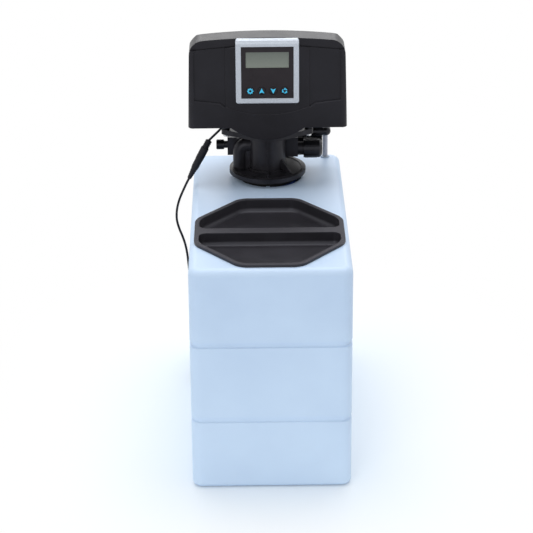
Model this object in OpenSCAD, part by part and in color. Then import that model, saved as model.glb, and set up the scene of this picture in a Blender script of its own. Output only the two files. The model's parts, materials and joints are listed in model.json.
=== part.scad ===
// Cabinet water softener: a resin tank with a motor-driven valve, standing in a salt cabinet.
// Millimetres. +Z is up, +Y is to the back, and the origin is on the floor under the cabinet's centre.

/* [Cabinet] */
// Width of the cabinet, side to side
cab_w = 225; // [222:1:250]
// Depth of the cabinet, front to back
cab_d = 460; // [455:1:500]
// Height of the cabinet's top face
cab_h = 335; // [328:1:337]
// Thickness of the cabinet's walls
cab_wall = 4; // [3:0.5:5]
// Radius of the upright corners
cab_corner = 15; // [13:1:20]
// Radius of the edge round the top
top_edge = 11; // [6:1:12]
// Radius of the edge round the base
base_edge = 8; // [4:1:12]
// Height of the lower groove
groove_low = 107; // [80:1:140]
// Height of the upper groove
groove_high = 222; // [180:1:250]
// Depth of a groove
groove_depth = 1.5; // [0.5:0.1:2.5]
// Height of a groove's mouth
groove_h = 8; // [5:1:12]
// Width of the moulding rib between the lid and the valve
rib_w = 6; // [3:1:10]
// Height of the moulding rib
rib_h = 0.6; // [0.3:0.1:1]
// Gap round the tank's neck in the cabinet's top
neck_gap = 5; // [4.5:0.5:7]
// Shift of that hole to the right of the tank's axis
neck_shift = 4; // [0:0.5:4]

/* [Salt lid] */
// Gap between the cabinet's sides and the lid
lid_margin = 6.5; // [5.5:0.5:12]
// Gap between the lid and the hole for the tank's neck
lid_gap = 55.5; // [48:0.5:66]
// Width of the lid's front and back flats
lid_end = 86; // [76:1:96]
// Length of the lid's side flats
lid_side = 90; // [80:1:100]
// Gap between the cabinet's front face and the lid
lid_front = 10; // [8:1:16]
// Thickness of the rim that lies on the cabinet
lid_rim = 4; // [3:0.5:6]
// Radius of the rim's corners
lid_corner = 11; // [10:0.5:14]
// Lap of the rim over the cabinet's top
lid_lap = 3.6; // [3:0.1:5]
// Gap between the lid's tray and the opening
lid_fit = 0.7; // [0.5:0.1:1.5]
// Thickness of the lid's walls
lid_wall = 2.2; // [2:0.1:4]
// Depth of the two finger pockets
pocket_depth = 19; // [12:1:22]
// Radius of the pockets' corners
pocket_corner = 11; // [8:1:15]
// Width of the grip bar between the pockets
grip_w = 18; // [14:1:24]

/* [Resin tank] */
// Outer diameter of the tank
tank_d = 178; // [170:1:180]
// Height of the tank, base to neck
tank_h = 334; // [331:1:345]
// Thickness of the tank's wall
tank_wall = 4; // [3:0.5:5]
// Radius of the tank's top shoulder
tank_shoulder = 55; // [48:1:60]
// Radius of the tank's bottom edge
tank_heel = 50; // [40:1:60]
// Diameter of the tank's neck
tank_neck_d = 85; // [84:1:92]
// Diameter of the threaded bore in the neck
tank_bore_d = 69; // [67:0.5:70]
// Wall of the boot that the tank stands in
boot_wall = 3; // [2:0.5:4]
// Floor of the boot
boot_floor = 2; // [1.5:0.5:4]
// Height of the boot
boot_h = 64; // [50:1:90]
// Gap between the boot and the cabinet's back wall
boot_gap = 3; // [2:0.5:6]
// Outer diameter of the riser pipe
riser_d = 27; // [25:0.5:28]
// Wall of the riser pipe
riser_wall = 2; // [1.5:0.5:3]
// Diameter of the lower distributor
dist_d = 54; // [44:1:60]
// Height of the lower distributor
dist_h = 40; // [32:1:50]
// Depth of the resin bed
bed_h = 200; // [150:1:220]
// Diameter of the upper strainer
strainer_d = 60; // [50:1:66]
// Height of the upper strainer
strainer_h = 18; // [12:1:24]
// Thickness of the neck's sealing ring
o_ring_d = 3.4; // [2.5:0.1:4]

/* [Valve body] */
// Diameter of the collar that sits on the tank
collar_d = 115; // [112:1:120]
// Thickness of the collar
collar_t = 9; // [6:0.5:11]
// Depth of the thread that screws into the tank
spigot_h = 22; // [16:1:26]
// Diameter of the neck
neck_d = 54; // [50:1:58]
// Wall of the neck
neck_wall = 4; // [3:0.5:5]
// Height of the two-eared flange above the collar's seat
ear_rise = 59; // [54:1:66]
// Thickness of the two-eared flange
ear_t = 8; // [5:0.5:10]
// Distance between the two ears' screws
ear_span = 124; // [120:1:132]
// Radius of an ear
ear_r = 7; // [6:0.5:9]
// Distance of the ears' screws behind the valve's axis
ear_back = 10; // [0:1:12]
// Height of the disc chamber's underside above the collar's seat
drum_rise = 83; // [80:1:88]
// Outer diameter of the disc chamber
drum_d = 104; // [100:1:106]
// Wall of the disc chamber
drum_wall = 6; // [4:0.5:7]
// Thickness of the disc chamber's floor
drum_floor = 6; // [4:0.5:8]
// Diameter of the side channel that stands on the collar
channel_d = 21; // [18:1:24]
// Outer diameter of the inlet and outlet stubs
stub_d = 26.4; // [20.9:0.1:33]
// Bore of the inlet and outlet stubs
stub_bore_d = 20; // [15:0.5:20]
// Length of the inlet and outlet stubs
stub_l = 32; // [25:1:36]
// Distance between the inlet and the outlet
stub_span = 64; // [56:1:76]
// Height of the inlet and outlet above the collar's seat
stub_rise = 37; // [33:1:42]
// Diameter of the drain stub
drain_d = 11; // [10:0.5:12]
// Bore of the drain stub and its nut, for the drain tube
drain_bore_d = 8.1; // [6.1:0.1:8.5]
// Diameter of the drain nut
drain_nut_d = 15; // [14:0.5:18]
// Length of the drain nut
drain_nut_l = 12; // [8:1:14]
// Diameter of the injector barrel
inj_d = 21; // [18:0.5:24]
// Bore of the injector barrel
inj_bore_d = 14; // [11:0.5:15]
// Diameter of the injector cap
inj_cap_d = 29; // [27:0.5:32]
// Length of the injector cap
inj_cap_l = 28; // [22:1:32]

/* [Ceramic discs and drive] */
// Thickness of the seal under the fixed disc
seal_t = 2; // [1.5:0.5:3]
// Thickness of the fixed disc
fixed_t = 8; // [6:0.5:9]
// Thickness of the moving disc
moving_t = 6; // [5:0.5:8]
// Thickness of the plate that turns the moving disc
driver_t = 5.4; // [4:0.2:7]
// Diameter of the drive shaft
shaft_d = 18; // [14:1:20]
// Thickness of the retaining cap's top
cap_t = 8; // [6:0.5:10]
// Wall of the retaining cap
cap_wall = 6; // [4:0.5:6]
// Module of the gears
gear_m = 1.25; // [1:0.05:1.4]
// Teeth on the drive gear
gear_teeth = 48; // [40:4:48]
// Teeth on the motor pinion
pinion_teeth = 16; // [16:4:20]
// Width of the drive gear
gear_t = 10; // [8:1:12]
// Diameter of the motor's shaft
motor_shaft_d = 6; // [4:0.5:8]
// Diameter of the motor can
motor_d = 24; // [20:1:28]
// Height of the motor can
motor_h = 34; // [25:1:38]
// Length of the motor's gearbox
gearbox_l = 40; // [34:1:46]
// Width of the motor's gearbox
gearbox_w = 30; // [28:1:34]
// Height of the motor's gearbox
gearbox_h = 20; // [14:1:22]

/* [Control head] */
// Width of the head at its bottom edge
head_w = 233; // [226:1:244]
// Width of the head at the top corners
head_top_w = 227; // [222:1:236]
// Height of the head's bottom edge above the collar's seat
head_rise = 94; // [93:1:98]
// Height of the head, bottom edge to crown
head_h = 136.4; // [132:0.1:142]
// Radius of the top corners
head_corner = 22; // [14:1:24]
// Radius of the arched top
head_arch = 1022; // [700:1:1500]
// Drop of the apron below the bottom edge
apron_drop = 18.6; // [10:0.1:19]
// Radius of the apron's lower edge
apron_r = 88; // [75:1:100]
// Distance from the valve's axis forward to the head's front face
head_reach = 67; // [65:1:72]
// Depth of the flat top, from the front face to the ridge
head_flat = 41; // [36:1:46]
// Depth of the head, front to back
head_d = 132; // [130:1:142]
// Drop of the rear cover's top, ridge to back
rear_drop = 40; // [20:1:44]
// How much tighter the rear slope's arch is than the crown's
rear_flatten = 42; // [20:1:60]
// Bevel along the sides of the rear slope
rear_chamfer = 16; // [8:0.5:16.5]
// Radius of the head's front side edges
front_edge = 9; // [5:0.5:10]
// Radius of the head's front top edge
brow_edge = 6; // [4:0.5:9]
// Radius of the head's back edges
back_edge = 14; // [8:1:18]
// Thickness of the covers
cover_wall = 3; // [2:0.5:3.5]
// Thickness of the head's front wall
front_t = 7; // [6.5:0.5:9]
// Depth of the side panels behind the front face
panel_sink = 2.5; // [1.5:0.1:3]
// Depth of the middle behind the front face
middle_sink = 1; // [0.5:0.1:1.4]
// Depth of the brow, the band under the top edge, behind the front face
brow_sink = 4.5; // [3.5:0.1:5]
// Width of the middle, between the side panels
middle_w = 123; // [116:1:130]
// Height of the curve under the display above the bottom edge
smile_rise = 21; // [18:1:24]
// Radius of the curve under the display
smile_r = 157; // [140:1:180]
// Thickness of the head's base plate
base_t = 3.5; // [2.5:0.5:4]

/* [Display] */
// Width of the bezel
bezel_w = 92; // [88:1:98]
// Height of the bezel
bezel_h = 98; // [96:1:102]
// Distance that the bezel stands proud of the middle
bezel_proud = 3.5; // [2.5:0.5:4]
// Width of the window in the bezel
window_w = 76.2; // [70:0.2:78]
// Height of the window in the bezel
window_h = 78.2; // [74:0.2:79]
// Width of the bezel's lower border
bezel_foot = 7.6; // [7:0.2:9]
// Width of the display glass
lcd_w = 63; // [54:1:66]
// Height of the display glass
lcd_h = 24; // [18:1:26]
// Height of the display glass above the window's lower edge
lcd_rise = 45.8; // [40:0.2:48]
// Diameter of a button
button_d = 11.6; // [9:0.2:12.6]
// Distance between buttons
button_pitch = 16.7; // [15:0.1:17.5]
// Height of the buttons above the window's lower edge
button_rise = 11.4; // [9:0.2:14]
// Travel of a button
button_travel = 1; // [0.6:0.1:1.4]
// Thickness of the display panel
panel_t = 2.4; // [1.6:0.2:3]
// Thickness of the circuit board
board_t = 1.6; // [1:0.2:2]

/* [Brine line] */
// Outer diameter of the brine tube
tube_d = 8; // [6:0.5:8.5]
// Distance of the brine tube from the cabinet's middle
tube_x = 90; // [88:1:94]
// Distance of the brine tube from the cabinet's back face
tube_back = 18; // [17:1:22]
// Outer diameter of the brine well
well_d = 60; // [54:1:62]
// Wall of the brine well
well_wall = 2.5; // [2:0.5:3]
// Gap between the brine well and the cabinet's side wall
well_side = 26.5; // [10:0.5:40]
// Height of the brine well
well_h = 258; // [240:1:265]
// Diameter of the float
float_d = 22; // [16:1:24]
// Height of the float
float_h = 60; // [40:1:80]
// Diameter of the pick-up pipe
pickup_d = 10; // [8:0.5:11]
// Diameter of the float rod
rod_d = 3; // [2.5:0.5:4]
// Bore of the overflow elbow
overflow_bore_d = 13; // [10:0.5:14]
// Height of the overflow elbow above the floor
overflow_z = 250; // [235:1:290]

/* [Power lead] */
// Diameter of the power lead
lead_d = 3.5; // [3:0.1:3.5]
// Diameter of the in-line connectors
link_d = 12; // [10:0.5:13]
// Radius of the coil's outermost loop
coil_r = 27; // [26:0.5:28]
// Distance between neighbouring loops
coil_pitch = 4; // [4:0.1:4.2]
// Loops in each layer of the coil
coil_loops = 4; // [3:1:4]
// Length of the power adapter
adapter_l = 60; // [50:1:70]
// Width of the power adapter
adapter_w = 42; // [36:1:44]
// Height of the power adapter
adapter_h = 30; // [26:1:34]
// Diameter of a plug pin
plug_pin_d = 4; // [4:0.1:4.8]

/* [Fits] */
// Running clearance of a shaft in its bore, on the radius
run_fit = 0.08; // [0.04:0.01:0.1]
// Sliding clearance of loose pieces, on the radius
slide_fit = 0.3; // [0.2:0.05:0.4]
// Diameter of the small screws
screw_d = 3; // [2.5:0.5:3]
// Diameter of the base bolts
bolt_d = 5; // [4:0.5:5]

/* [Hidden] */
$fn = 64;
// Overlap that keeps a cut from ending on a face
eps = 1;

// Cabinet and tank places
back_y = cab_d / 2;
front_y = -cab_d / 2;
boot_r = tank_d / 2 + boot_wall;
tank_y = back_y - cab_wall - boot_gap - boot_r;
tank_z = cab_wall + boot_floor;
tank_top = tank_z + tank_h;
neck_hole_r = tank_neck_d / 2 + neck_gap;
lid_w = cab_w - 2 * lid_margin;
lid_d = tank_y - neck_hole_r - lid_gap - front_y - lid_front;
lid_y = front_y + lid_front + lid_d / 2;
lid_top = cab_h + lid_rim;
tray_inset = lid_lap + lid_fit;
pocket_inset = tray_inset + lid_wall;
pocket_z = lid_top - pocket_depth;
lid_z = pocket_z - lid_wall;

// Valve places: seat is the collar's underside
ring_squeeze = 1;
seat = tank_top + ring_squeeze;
collar_top = seat + collar_t;
collar_step = 2.6;
spigot_r = tank_bore_d / 2 - slide_fit;
spigot_z = seat - spigot_h;
neck_r = neck_d / 2;
riser_r = riser_d / 2;
socket_r = riser_r + run_fit;
socket_wall = 3.4;
gallery_top = collar_top + 22;
socket_top = gallery_top - 6;
ear_z = seat + ear_rise;
ear_y = tank_y + ear_back;
drum_z = seat + drum_rise;
drum_r = drum_d / 2;
chamber_r = drum_r - drum_wall;
chamber_z = drum_z + drum_floor;
fixed_z = chamber_z + seal_t;
moving_z = fixed_z + fixed_t + slide_fit;
driver_z = moving_z + moving_t;
drum_top = driver_z + driver_t + slide_fit;
cap_top = drum_top + cap_t;
port_r = 6;
port_x = chamber_r - 14;
stub_x = stub_span / 2;
stub_z = seat + stub_rise;
port_y = tank_y + 19;
block_reach = 60;
block_y = tank_y + block_reach;
stub_end = block_y + stub_l;
block_x = stub_x + stub_d / 2 + 1;
block_low = stub_z - stub_d / 2 - 2;
block_high = stub_z + stub_d / 2 + 2;
drain_y = tank_y + 20;
drain_z = stub_z + 1;
drain_face = block_x + 14;
drain_nut_x = drain_face + 5;
inj_y = tank_y + 20;
inj_z = seat + 31;
inj_start = stub_x + stub_bore_d / 2 + 3;
inj_end = 72;
inj_cap_x = 55;
channel_r = channel_d / 2;
channel_x = neck_r + channel_r + 4;
channel_top = collar_top + 24;
gusset_turn = -38;

// Head places
head_z = seat + head_rise;
crown_z = head_z + head_h;
face_y = tank_y - head_reach;
ridge_y = face_y + head_flat;
rear_y = face_y + head_d;
base_z = head_z + 1;
base_top = base_z + base_t;
cap_z = base_top + 1.5;
gear_z = cap_top + 4;
gear_r = gear_m * gear_teeth / 2;
pinion_r = gear_m * pinion_teeth / 2;
motor_x = gear_r + pinion_r;
bracket_z = gear_z + gear_t + 2;
bracket_t = 3;
motor_z = bracket_z + bracket_t;
pillar_x = drum_r + cap_wall + 12;
pillar_dy = 18;
pillar_r = 4;
boss_r = 5.5;
boss_sink = 8;
boss_x = head_top_w / 2 - 18;
boss_low = head_z + 14;
boss_high = crown_z - 56;
middle_y = face_y + middle_sink;
brow_y = face_y + brow_sink;
brow_drop = 14.2;
brow_slope = 0.092;
wall_y = face_y + front_t;
bezel_y = middle_y - bezel_proud;
bezel_z = crown_z + 0.2 - bezel_h;
bezel_corner = 3.5;
window_z = bezel_z + bezel_foot;
panel_y = bezel_y + 1.5;
panel_back = panel_y + panel_t;
board_y = face_y + 12;
button_z = window_z + button_rise;
lcd_z = window_z + lcd_rise;
board_w = bezel_w + 8;
board_h = bezel_h - 4;
board_z = bezel_z - 6;
post_x = bezel_w / 2;
post_low = bezel_z - 2;
post_high = bezel_z + bezel_h - 16;

// Brine places
tube_y = back_y - tube_back;
tube_r = tube_d / 2;
elbow_z = seat + 49;
elbow_y = tank_y + 45;
elbow_r = 7;
elbow_drop = 9;
brine_r = 8;
brine_low = elbow_z - elbow_r - 2.6 - brine_r;
brine_end = tube_x - 6;
well_r = well_d / 2;
well_x = cab_w / 2 - cab_wall - well_side - well_r;
well_y = lid_y + 46;
well_z = cab_wall;
well_top = well_z + well_h;
pickup_y = well_y + 8;
rod_y = well_y - 12;
inlet_z = well_top - 22;
float_z = 60;
overflow_x = 52.5 - cab_w / 2;

// Lead places and route, chosen by hand: the pigtail from the gland, the lead from the cabinet's back corner
lead_r = lead_d / 2;
side_x = -cab_w / 2;
gland_x = -66;
gland_y = tank_y - 31;
gland_tip = base_z - 6;
link_top = [gland_x - 21, gland_y, gland_tip - 26];
link_tip = [side_x - 5.5, gland_y, cab_h + 9];
link_dir = (link_tip - link_top) / norm(link_tip - link_top);
entry = 4;
PIGTAIL = concat([for (p = [[0, 0, 0], [-0.8, 0, -5], [-4, 0, -9.5], [-9.5, 0, -13.5], [-14.5, 0, -17]])
    p + [gland_x, gland_y, gland_tip]], [for (at = [-6, -2, entry - 0.5]) link_top + at * link_dir]);
LEAD = concat([for (at = [0.5 - entry, 2, 8]) link_tip + at * link_dir],
    [for (p = [[-16, -130, 322], [-21.5, -130, 308], [-25, -130, 293], [-25.5, -130, 278],
    [-22.5, -130, 264], [-17.5, -130, 250], [-13.5, -130, 236], [-11, -130, 221], [-9.5, -130, 205],
    [-7.5, -130, 180], [-5.5, -130, 150], [-4.5, -130, 120], [-4.5, -130, 90], [-4.5, -129, 60],
    [-4.5, -126, 36], [-4.5, -118, 18], [-4.5, -104, 6], [-4.5, -86, 3], [-4.5, -65, 3],
    [-4.5, -40, 3], [-4.5, -22, 3], [-1.5, -8, 3], [6.5, 3, 3], [18.5, 10, 3], [28.5, 11, 3],
    [36.5, 11, 3]]) p + [side_x, back_y, 0]]);
coil_x = side_x + 42.5;
coil_y = back_y + 38;
coil_z = 3;
coil_dip = 1;
coil_tail = 26;
tie_t = 0.8;
tie_w = 6;

// Points of the brine tube: down through the cabinet's top, round the tank and into the float valve's arm
arm_l = 16;
tube_in = 6;
tank_pass = 100;
tank_side = tube_y - tank_pass;
tube_run = tank_side - pickup_y - arm_l;
function along_run(x, f, z) = [x, tank_side - f * tube_run, z];
TUBE = [[tube_x, tube_y, elbow_z - 8], [tube_x, tube_y, cab_h + 12], [tube_x, tube_y, cab_h - 5],
    [tube_x, tube_y, cab_h - 10], [tube_x, tube_y - 4.3, cab_h - 26], [tube_x, tube_y - 16, cab_h - 37.7],
    [tube_x + 1, tube_y - 34, cab_h - 42], [tube_x + 2, tube_y - 65, cab_h - 44],
    [tube_x + 2, tank_side, cab_h - 48], along_run(tube_x, 0.27, inlet_z + 40),
    along_run((tube_x * 3 + well_x) / 4, 0.5, inlet_z + 28),
    along_run((tube_x + well_x * 2) / 3, 0.72, inlet_z + 13), along_run(well_x + 2, 0.87, inlet_z + 3),
    [well_x, pickup_y + arm_l + 10, inlet_z], [well_x, pickup_y + arm_l + 1, inlet_z],
    [well_x, pickup_y + arm_l - tube_in, inlet_z]];

// Straight bars along the axes
module bar_x(x0, x1, y, z, r) {
    translate([x0, y, z]) rotate([0, 90, 0]) cylinder(h = x1 - x0, r = r);
}
module bar_y(y0, y1, x, z, r) {
    translate([x, y0, z]) rotate([-90, 0, 0]) cylinder(h = y1 - y0, r = r);
}
module bar_z(z0, z1, x, y, r) {
    translate([x, y, z0]) cylinder(h = z1 - z0, r = r);
}
module box(x0, x1, y0, y1, z0, z1) {
    translate([x0, y0, z0]) cube([x1 - x0, y1 - y0, z1 - z0]);
}
// A flat shape drawn in XZ, carried along Y
module along_y(y0, y1) {
    translate([0, y1, 0]) rotate([90, 0, 0]) linear_extrude(y1 - y0) children();
}
// A flat shape drawn in YZ, carried along X
module along_x(x0, x1) {
    translate([x0, 0, 0]) rotate([90, 0, 90]) linear_extrude(x1 - x0) children();
}
module along_z(z0, z1) {
    translate([0, 0, z0]) linear_extrude(z1 - z0) children();
}
// A turned ring about the valve's axis
module ring(r0, r1, z0, z1) {
    translate([0, tank_y, 0]) difference() {
        bar_z(z0, z1, 0, 0, r1);
        bar_z(z0 - eps, z1 + eps, 0, 0, r0);
    }
}
// A rectangle with round corners about the origin
module round_rect(w, d, r) {
    square([w - 2 * r, d], center = true);
    square([w, d - 2 * r], center = true);
    for (x = [-1, 1], y = [-1, 1])
        translate([x * (w / 2 - r), y * (d / 2 - r)]) circle(r);
}

// Sweeps: a tube along points, with frames carried from ring to ring
function unit(v) = v / norm(v);
function tangent(p, i) = unit(p[min(i + 1, len(p) - 1)] - p[max(i - 1, 0)]);
function square_to(u, t) = unit(u - (u * t) * t);
function first_side(t) = square_to(abs(t.z) < 0.9 ? [0, 0, 1] : [1, 0, 0], t);
function sides_along(p) = [for (i = 0, u = first_side(tangent(p, 0)); i < len(p);
    i = i + 1, u = i < len(p) ? square_to(u, tangent(p, i)) : u) u];
function tube_points(p, r, n) = let (side = sides_along(p)) [for (i = [0 : len(p) - 1], k = [0 : n - 1])
    let (t = tangent(p, i), u = side[i], a = 360 * k / n) p[i] + r * (cos(a) * u + sin(a) * cross(t, u))];
function tube_walls(m, n) = [for (i = [0 : m - 2], k = [0 : n - 1], half = [0, 1])
    let (a = i * n + k, b = i * n + (k + 1) % n) half == 0 ? [a, a + n, b + n] : [a, b + n, b]];
function tube_ends(m, n) = [for (k = [1 : n - 2], end = [0, 1])
    let (o = (m - 1) * n) end == 0 ? [0, k, k + 1] : [o, o + k + 1, o + k]];
module sweep(p, r, n) {
    polyhedron(points = tube_points(p, r, n), faces = concat(tube_walls(len(p), n), tube_ends(len(p), n)));
}
// A smooth curve through hand-chosen points
function blend(a, b, c, d, t) = 0.5 * (2 * b + (c - a) * t + (2 * a - 5 * b + 4 * c - d) * t * t
    + (3 * b - 3 * c + d - a) * t * t * t);
function smooth(p, n) = concat([for (i = [0 : len(p) - 2], k = [0 : n - 1])
    blend(p[max(i - 1, 0)], p[i], p[i + 1], p[min(i + 2, len(p) - 1)], k / n)], [p[len(p) - 1]]);

// Cabinet: one edge profile is carried along the sides and turned round the corners
module edge_profile(half) {
    scallop = (groove_h * groove_h / 4 + groove_depth * groove_depth) / (2 * groove_depth);
    difference() {
        intersection() {
            union() {
                translate([0, base_edge]) square([half, cab_h - base_edge - top_edge]);
                square([half - base_edge, cab_h - top_edge]);
                translate([0, base_edge]) square([half - top_edge, cab_h - base_edge]);
                translate([half - base_edge, base_edge]) circle(base_edge);
                translate([half - top_edge, cab_h - top_edge]) circle(top_edge);
            }
            square([half + eps, cab_h]);
        }
        for (z = [groove_low, groove_high])
            translate([half + scallop - groove_depth, z]) circle(scallop);
    }
}
module both_ways(half) {
    edge_profile(half);
    mirror([1, 0]) edge_profile(half);
}
module cabinet_block() {
    straight_x = cab_w / 2 - cab_corner;
    straight_y = cab_d / 2 - cab_corner;
    along_x(-straight_x, straight_x) both_ways(cab_d / 2);
    for (turn = [0, 180]) rotate(turn) along_y(-straight_y, straight_y)
        translate([straight_x, 0]) edge_profile(cab_corner);
    for (turn = [0, 180], s = [-1, 1]) rotate(turn) translate([s * straight_x, straight_y, 0])
        rotate(s < 0 ? 90 : 0) rotate_extrude(angle = 90) edge_profile(cab_corner);
}
module cabinet() {
    color([0.82, 0.90, 0.97]) difference() {
        union() {
            cabinet_block();
            box(-rib_w / 2, rib_w / 2, lid_y + lid_d / 2 + 2, tank_y - neck_hole_r + 3,
                cab_h - 1, cab_h + rib_h);
        }
        along_z(cab_wall, cab_h - cab_wall)
            round_rect(cab_w - 2 * cab_wall, cab_d - 2 * cab_wall, cab_corner - cab_wall);
        translate([0, lid_y, 0]) along_z(cab_h - cab_wall - eps, cab_h + 2 * eps) octagon(lid_lap);
        bar_z(cab_h - cab_wall - eps, cab_h + 2 * eps, neck_shift, tank_y, neck_hole_r);
        bar_z(cab_h - cab_wall - eps, cab_h + eps, tube_x, tube_y, tube_r + 2);
        bar_y(back_y - cab_wall - eps, back_y + eps, overflow_x, overflow_z, overflow_bore_d / 2 + 2);
    }
}

// An outline from its edges, each a normal and a distance, with every corner rounded
function crossing(a, d, b, e) = [d * b.y - e * a.y, a.x * e - b.x * d] / (a.x * b.y - a.y * b.x);
function corner_centre(n, d, k, r) = let (m = (k + 1) % len(n)) crossing(n[k], d[k] - r, n[m], d[m] - r);
module rounded(n, d, r) {
    polygon([for (k = [0 : len(n) - 1], side = [0, 1])
        corner_centre(n, d, k, r) + r * n[(k + side) % len(n)]]);
    for (k = [0 : len(n) - 1]) translate(corner_centre(n, d, k, r)) circle(r);
}
// The lid's outline has eight edges, and an inset draws them all in
slant = unit([lid_d / 2 - lid_side / 2, lid_w / 2 - lid_end / 2]);
slant_reach = slant * [lid_w / 2, lid_side / 2];
module octagon(inset) {
    n = [[1, 0], slant, [0, 1], [-slant.x, slant.y], [-1, 0], -slant, [0, -1], [slant.x, -slant.y]];
    side = lid_w / 2 - inset;
    cut = slant_reach - inset;
    end = lid_d / 2 - inset;
    rounded(n, [side, cut, end, cut, side, cut, end, cut], max(lid_corner - inset, 1));
}
module pocket() {
    n = [[1, 0], slant, [0, 1], [-slant.x, slant.y], [-1, 0], [0, -1]];
    side = lid_w / 2 - pocket_inset;
    cut = slant_reach - pocket_inset;
    along_z(pocket_z, lid_top + eps)
        rounded(n, [side, cut, lid_d / 2 - pocket_inset, cut, side, -grip_w / 2], pocket_corner);
}
module salt_lid() {
    hollow = grip_w - 2 * lid_wall;
    reach = lid_w / 2 - pocket_inset - lid_wall;
    color([0.24, 0.24, 0.27]) translate([0, lid_y, 0]) difference() {
        union() {
            along_z(cab_h, lid_top) octagon(0);
            along_z(lid_z, cab_h + eps) octagon(tray_inset);
        }
        pocket();
        mirror([0, 1, 0]) pocket();
        box(-reach, reach, -hollow / 2, hollow / 2, lid_z - eps, lid_top - lid_wall);
    }
}

// Resin tank: a turned shell with a round heel and shoulder
module tank_outline(t) {
    r = tank_d / 2;
    low = tank_z + tank_heel;
    high = tank_top - 27 - sqrt(tank_shoulder ^ 2 - (tank_neck_d / 2 - r + tank_shoulder) ^ 2);
    difference() {
        union() {
            translate([0, low]) square([r - t, high - low]);
            translate([0, tank_z + t]) square([r - tank_heel, tank_heel]);
            translate([r - tank_heel, low]) circle(tank_heel - t);
            translate([r - tank_shoulder, high]) circle(tank_shoulder - t);
            translate([0, high]) square([r - tank_shoulder, tank_shoulder - t]);
        }
        translate([-2 * r, 0]) square([2 * r, 2 * tank_h]);
    }
}
module resin_tank() {
    groove_r = tank_bore_d / 2 + o_ring_d / 2 + 2;
    color([0.09, 0.24, 0.55]) translate([0, tank_y, 0]) rotate_extrude() difference() {
        union() {
            tank_outline(0);
            translate([0, tank_top - 40]) square([tank_neck_d / 2, 40]);
        }
        tank_outline(tank_wall);
        translate([0, tank_top - 60]) square([tank_bore_d / 2, 60 + eps]);
        translate([groove_r - o_ring_d / 2, tank_top + ring_squeeze - o_ring_d])
            square([o_ring_d, o_ring_d]);
    }
}
module tank_o_ring() {
    color([0.1, 0.1, 0.1]) translate([0, tank_y, seat - o_ring_d / 2]) rotate_extrude()
        translate([tank_bore_d / 2 + o_ring_d / 2 + 2, 0]) circle(o_ring_d / 2 - 0.02);
}
module tank_boot() {
    color([0.12, 0.12, 0.13]) difference() {
        bar_z(cab_wall, cab_wall + boot_h, 0, tank_y, boot_r);
        bar_z(tank_z, cab_wall + boot_h + eps, 0, tank_y, tank_d / 2 + slide_fit);
    }
}
module riser_pipe() {
    color([0.85, 0.85, 0.84]) ring(riser_r - riser_wall, riser_r, tank_z + tank_wall + 8, socket_top);
}
module lower_distributor() {
    low = tank_z + tank_wall;
    slots = 12;
    color([0.80, 0.80, 0.80]) translate([0, tank_y, 0]) difference() {
        bar_z(low, low + dist_h, 0, 0, dist_d / 2);
        bar_z(low + 3, low + dist_h - 12, 0, 0, dist_d / 2 - 3);
        bar_z(low + 3, low + dist_h + eps, 0, 0, riser_r + run_fit);
        for (k = [0 : slots - 1]) rotate(k * 360 / slots)
            box(dist_d / 2 - 5, dist_d / 2 + eps, -0.6, 0.6, low + 5, low + dist_h - 14);
    }
}
module upper_strainer() {
    low = spigot_z - strainer_h;
    slots = 12;
    color([0.80, 0.80, 0.80]) translate([0, tank_y, 0]) difference() {
        bar_z(low, spigot_z, 0, 0, strainer_d / 2);
        bar_z(low + 3, spigot_z + eps, 0, 0, strainer_d / 2 - 3);
        bar_z(low - eps, spigot_z, 0, 0, riser_r + slide_fit);
        for (k = [0 : slots - 1]) rotate(k * 360 / slots)
            box(strainer_d / 2 - 5, strainer_d / 2 + eps, -0.6, 0.6, low + 5, spigot_z - 4);
    }
}
// The resin lies round the distributor and the riser, a little clear of the tank's wall
module resin_bed() {
    color([0.62, 0.40, 0.16]) translate([0, tank_y, 0]) difference() {
        intersection() {
            rotate_extrude() tank_outline(tank_wall + slide_fit);
            bar_z(0, tank_z + tank_wall + bed_h, 0, 0, tank_d);
        }
        bar_z(0, tank_top, 0, 0, riser_r + slide_fit);
        bar_z(0, tank_z + tank_wall + dist_h + slide_fit, 0, 0, dist_d / 2 + slide_fit);
    }
}

// Valve body: collar, neck, two-eared flange, disc chamber and ports, moulded in one
module ear_plate() {
    hub_r = neck_r + 5;
    ear = [ear_span / 2, ear_back];
    aim = atan2(ear.y, ear.x);
    lean = acos((hub_r - ear_r) / norm(ear));
    front = [cos(aim - lean), sin(aim - lean)];
    back = [cos(aim + lean), sin(aim + lean)];
    right = [hub_r * front, ear + ear_r * front, ear + ear_r * back, hub_r * back];
    circle(hub_r);
    for (s = [-1, 1]) translate([s * ear.x, ear.y]) circle(ear_r);
    polygon(concat(right, [for (k = [3 : -1 : 0]) [-right[k].x, right[k].y]]));
}
module collar_gusset() {
    root = neck_r - 2;
    rotate([90, 0, 0]) translate([0, 0, -1.5]) linear_extrude(3)
        polygon([[root, -eps], [root + 21, -eps], [root, 20]]);
}
module side_channel() {
    bend = channel_r + 1;
    web = channel_r - 4;
    box(-channel_x, 0, tank_y - web, tank_y + web, collar_top - eps, channel_top + bend);
    bar_z(collar_top - eps, channel_top, -channel_x, tank_y, channel_r);
    translate([bend - channel_x, tank_y, channel_top]) rotate([90, 0, 0]) rotate(90)
        rotate_extrude(angle = 90) translate([bend, 0]) circle(channel_r);
    bar_x(bend - channel_x, 0, tank_y, channel_top + bend, channel_r);
}
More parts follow.
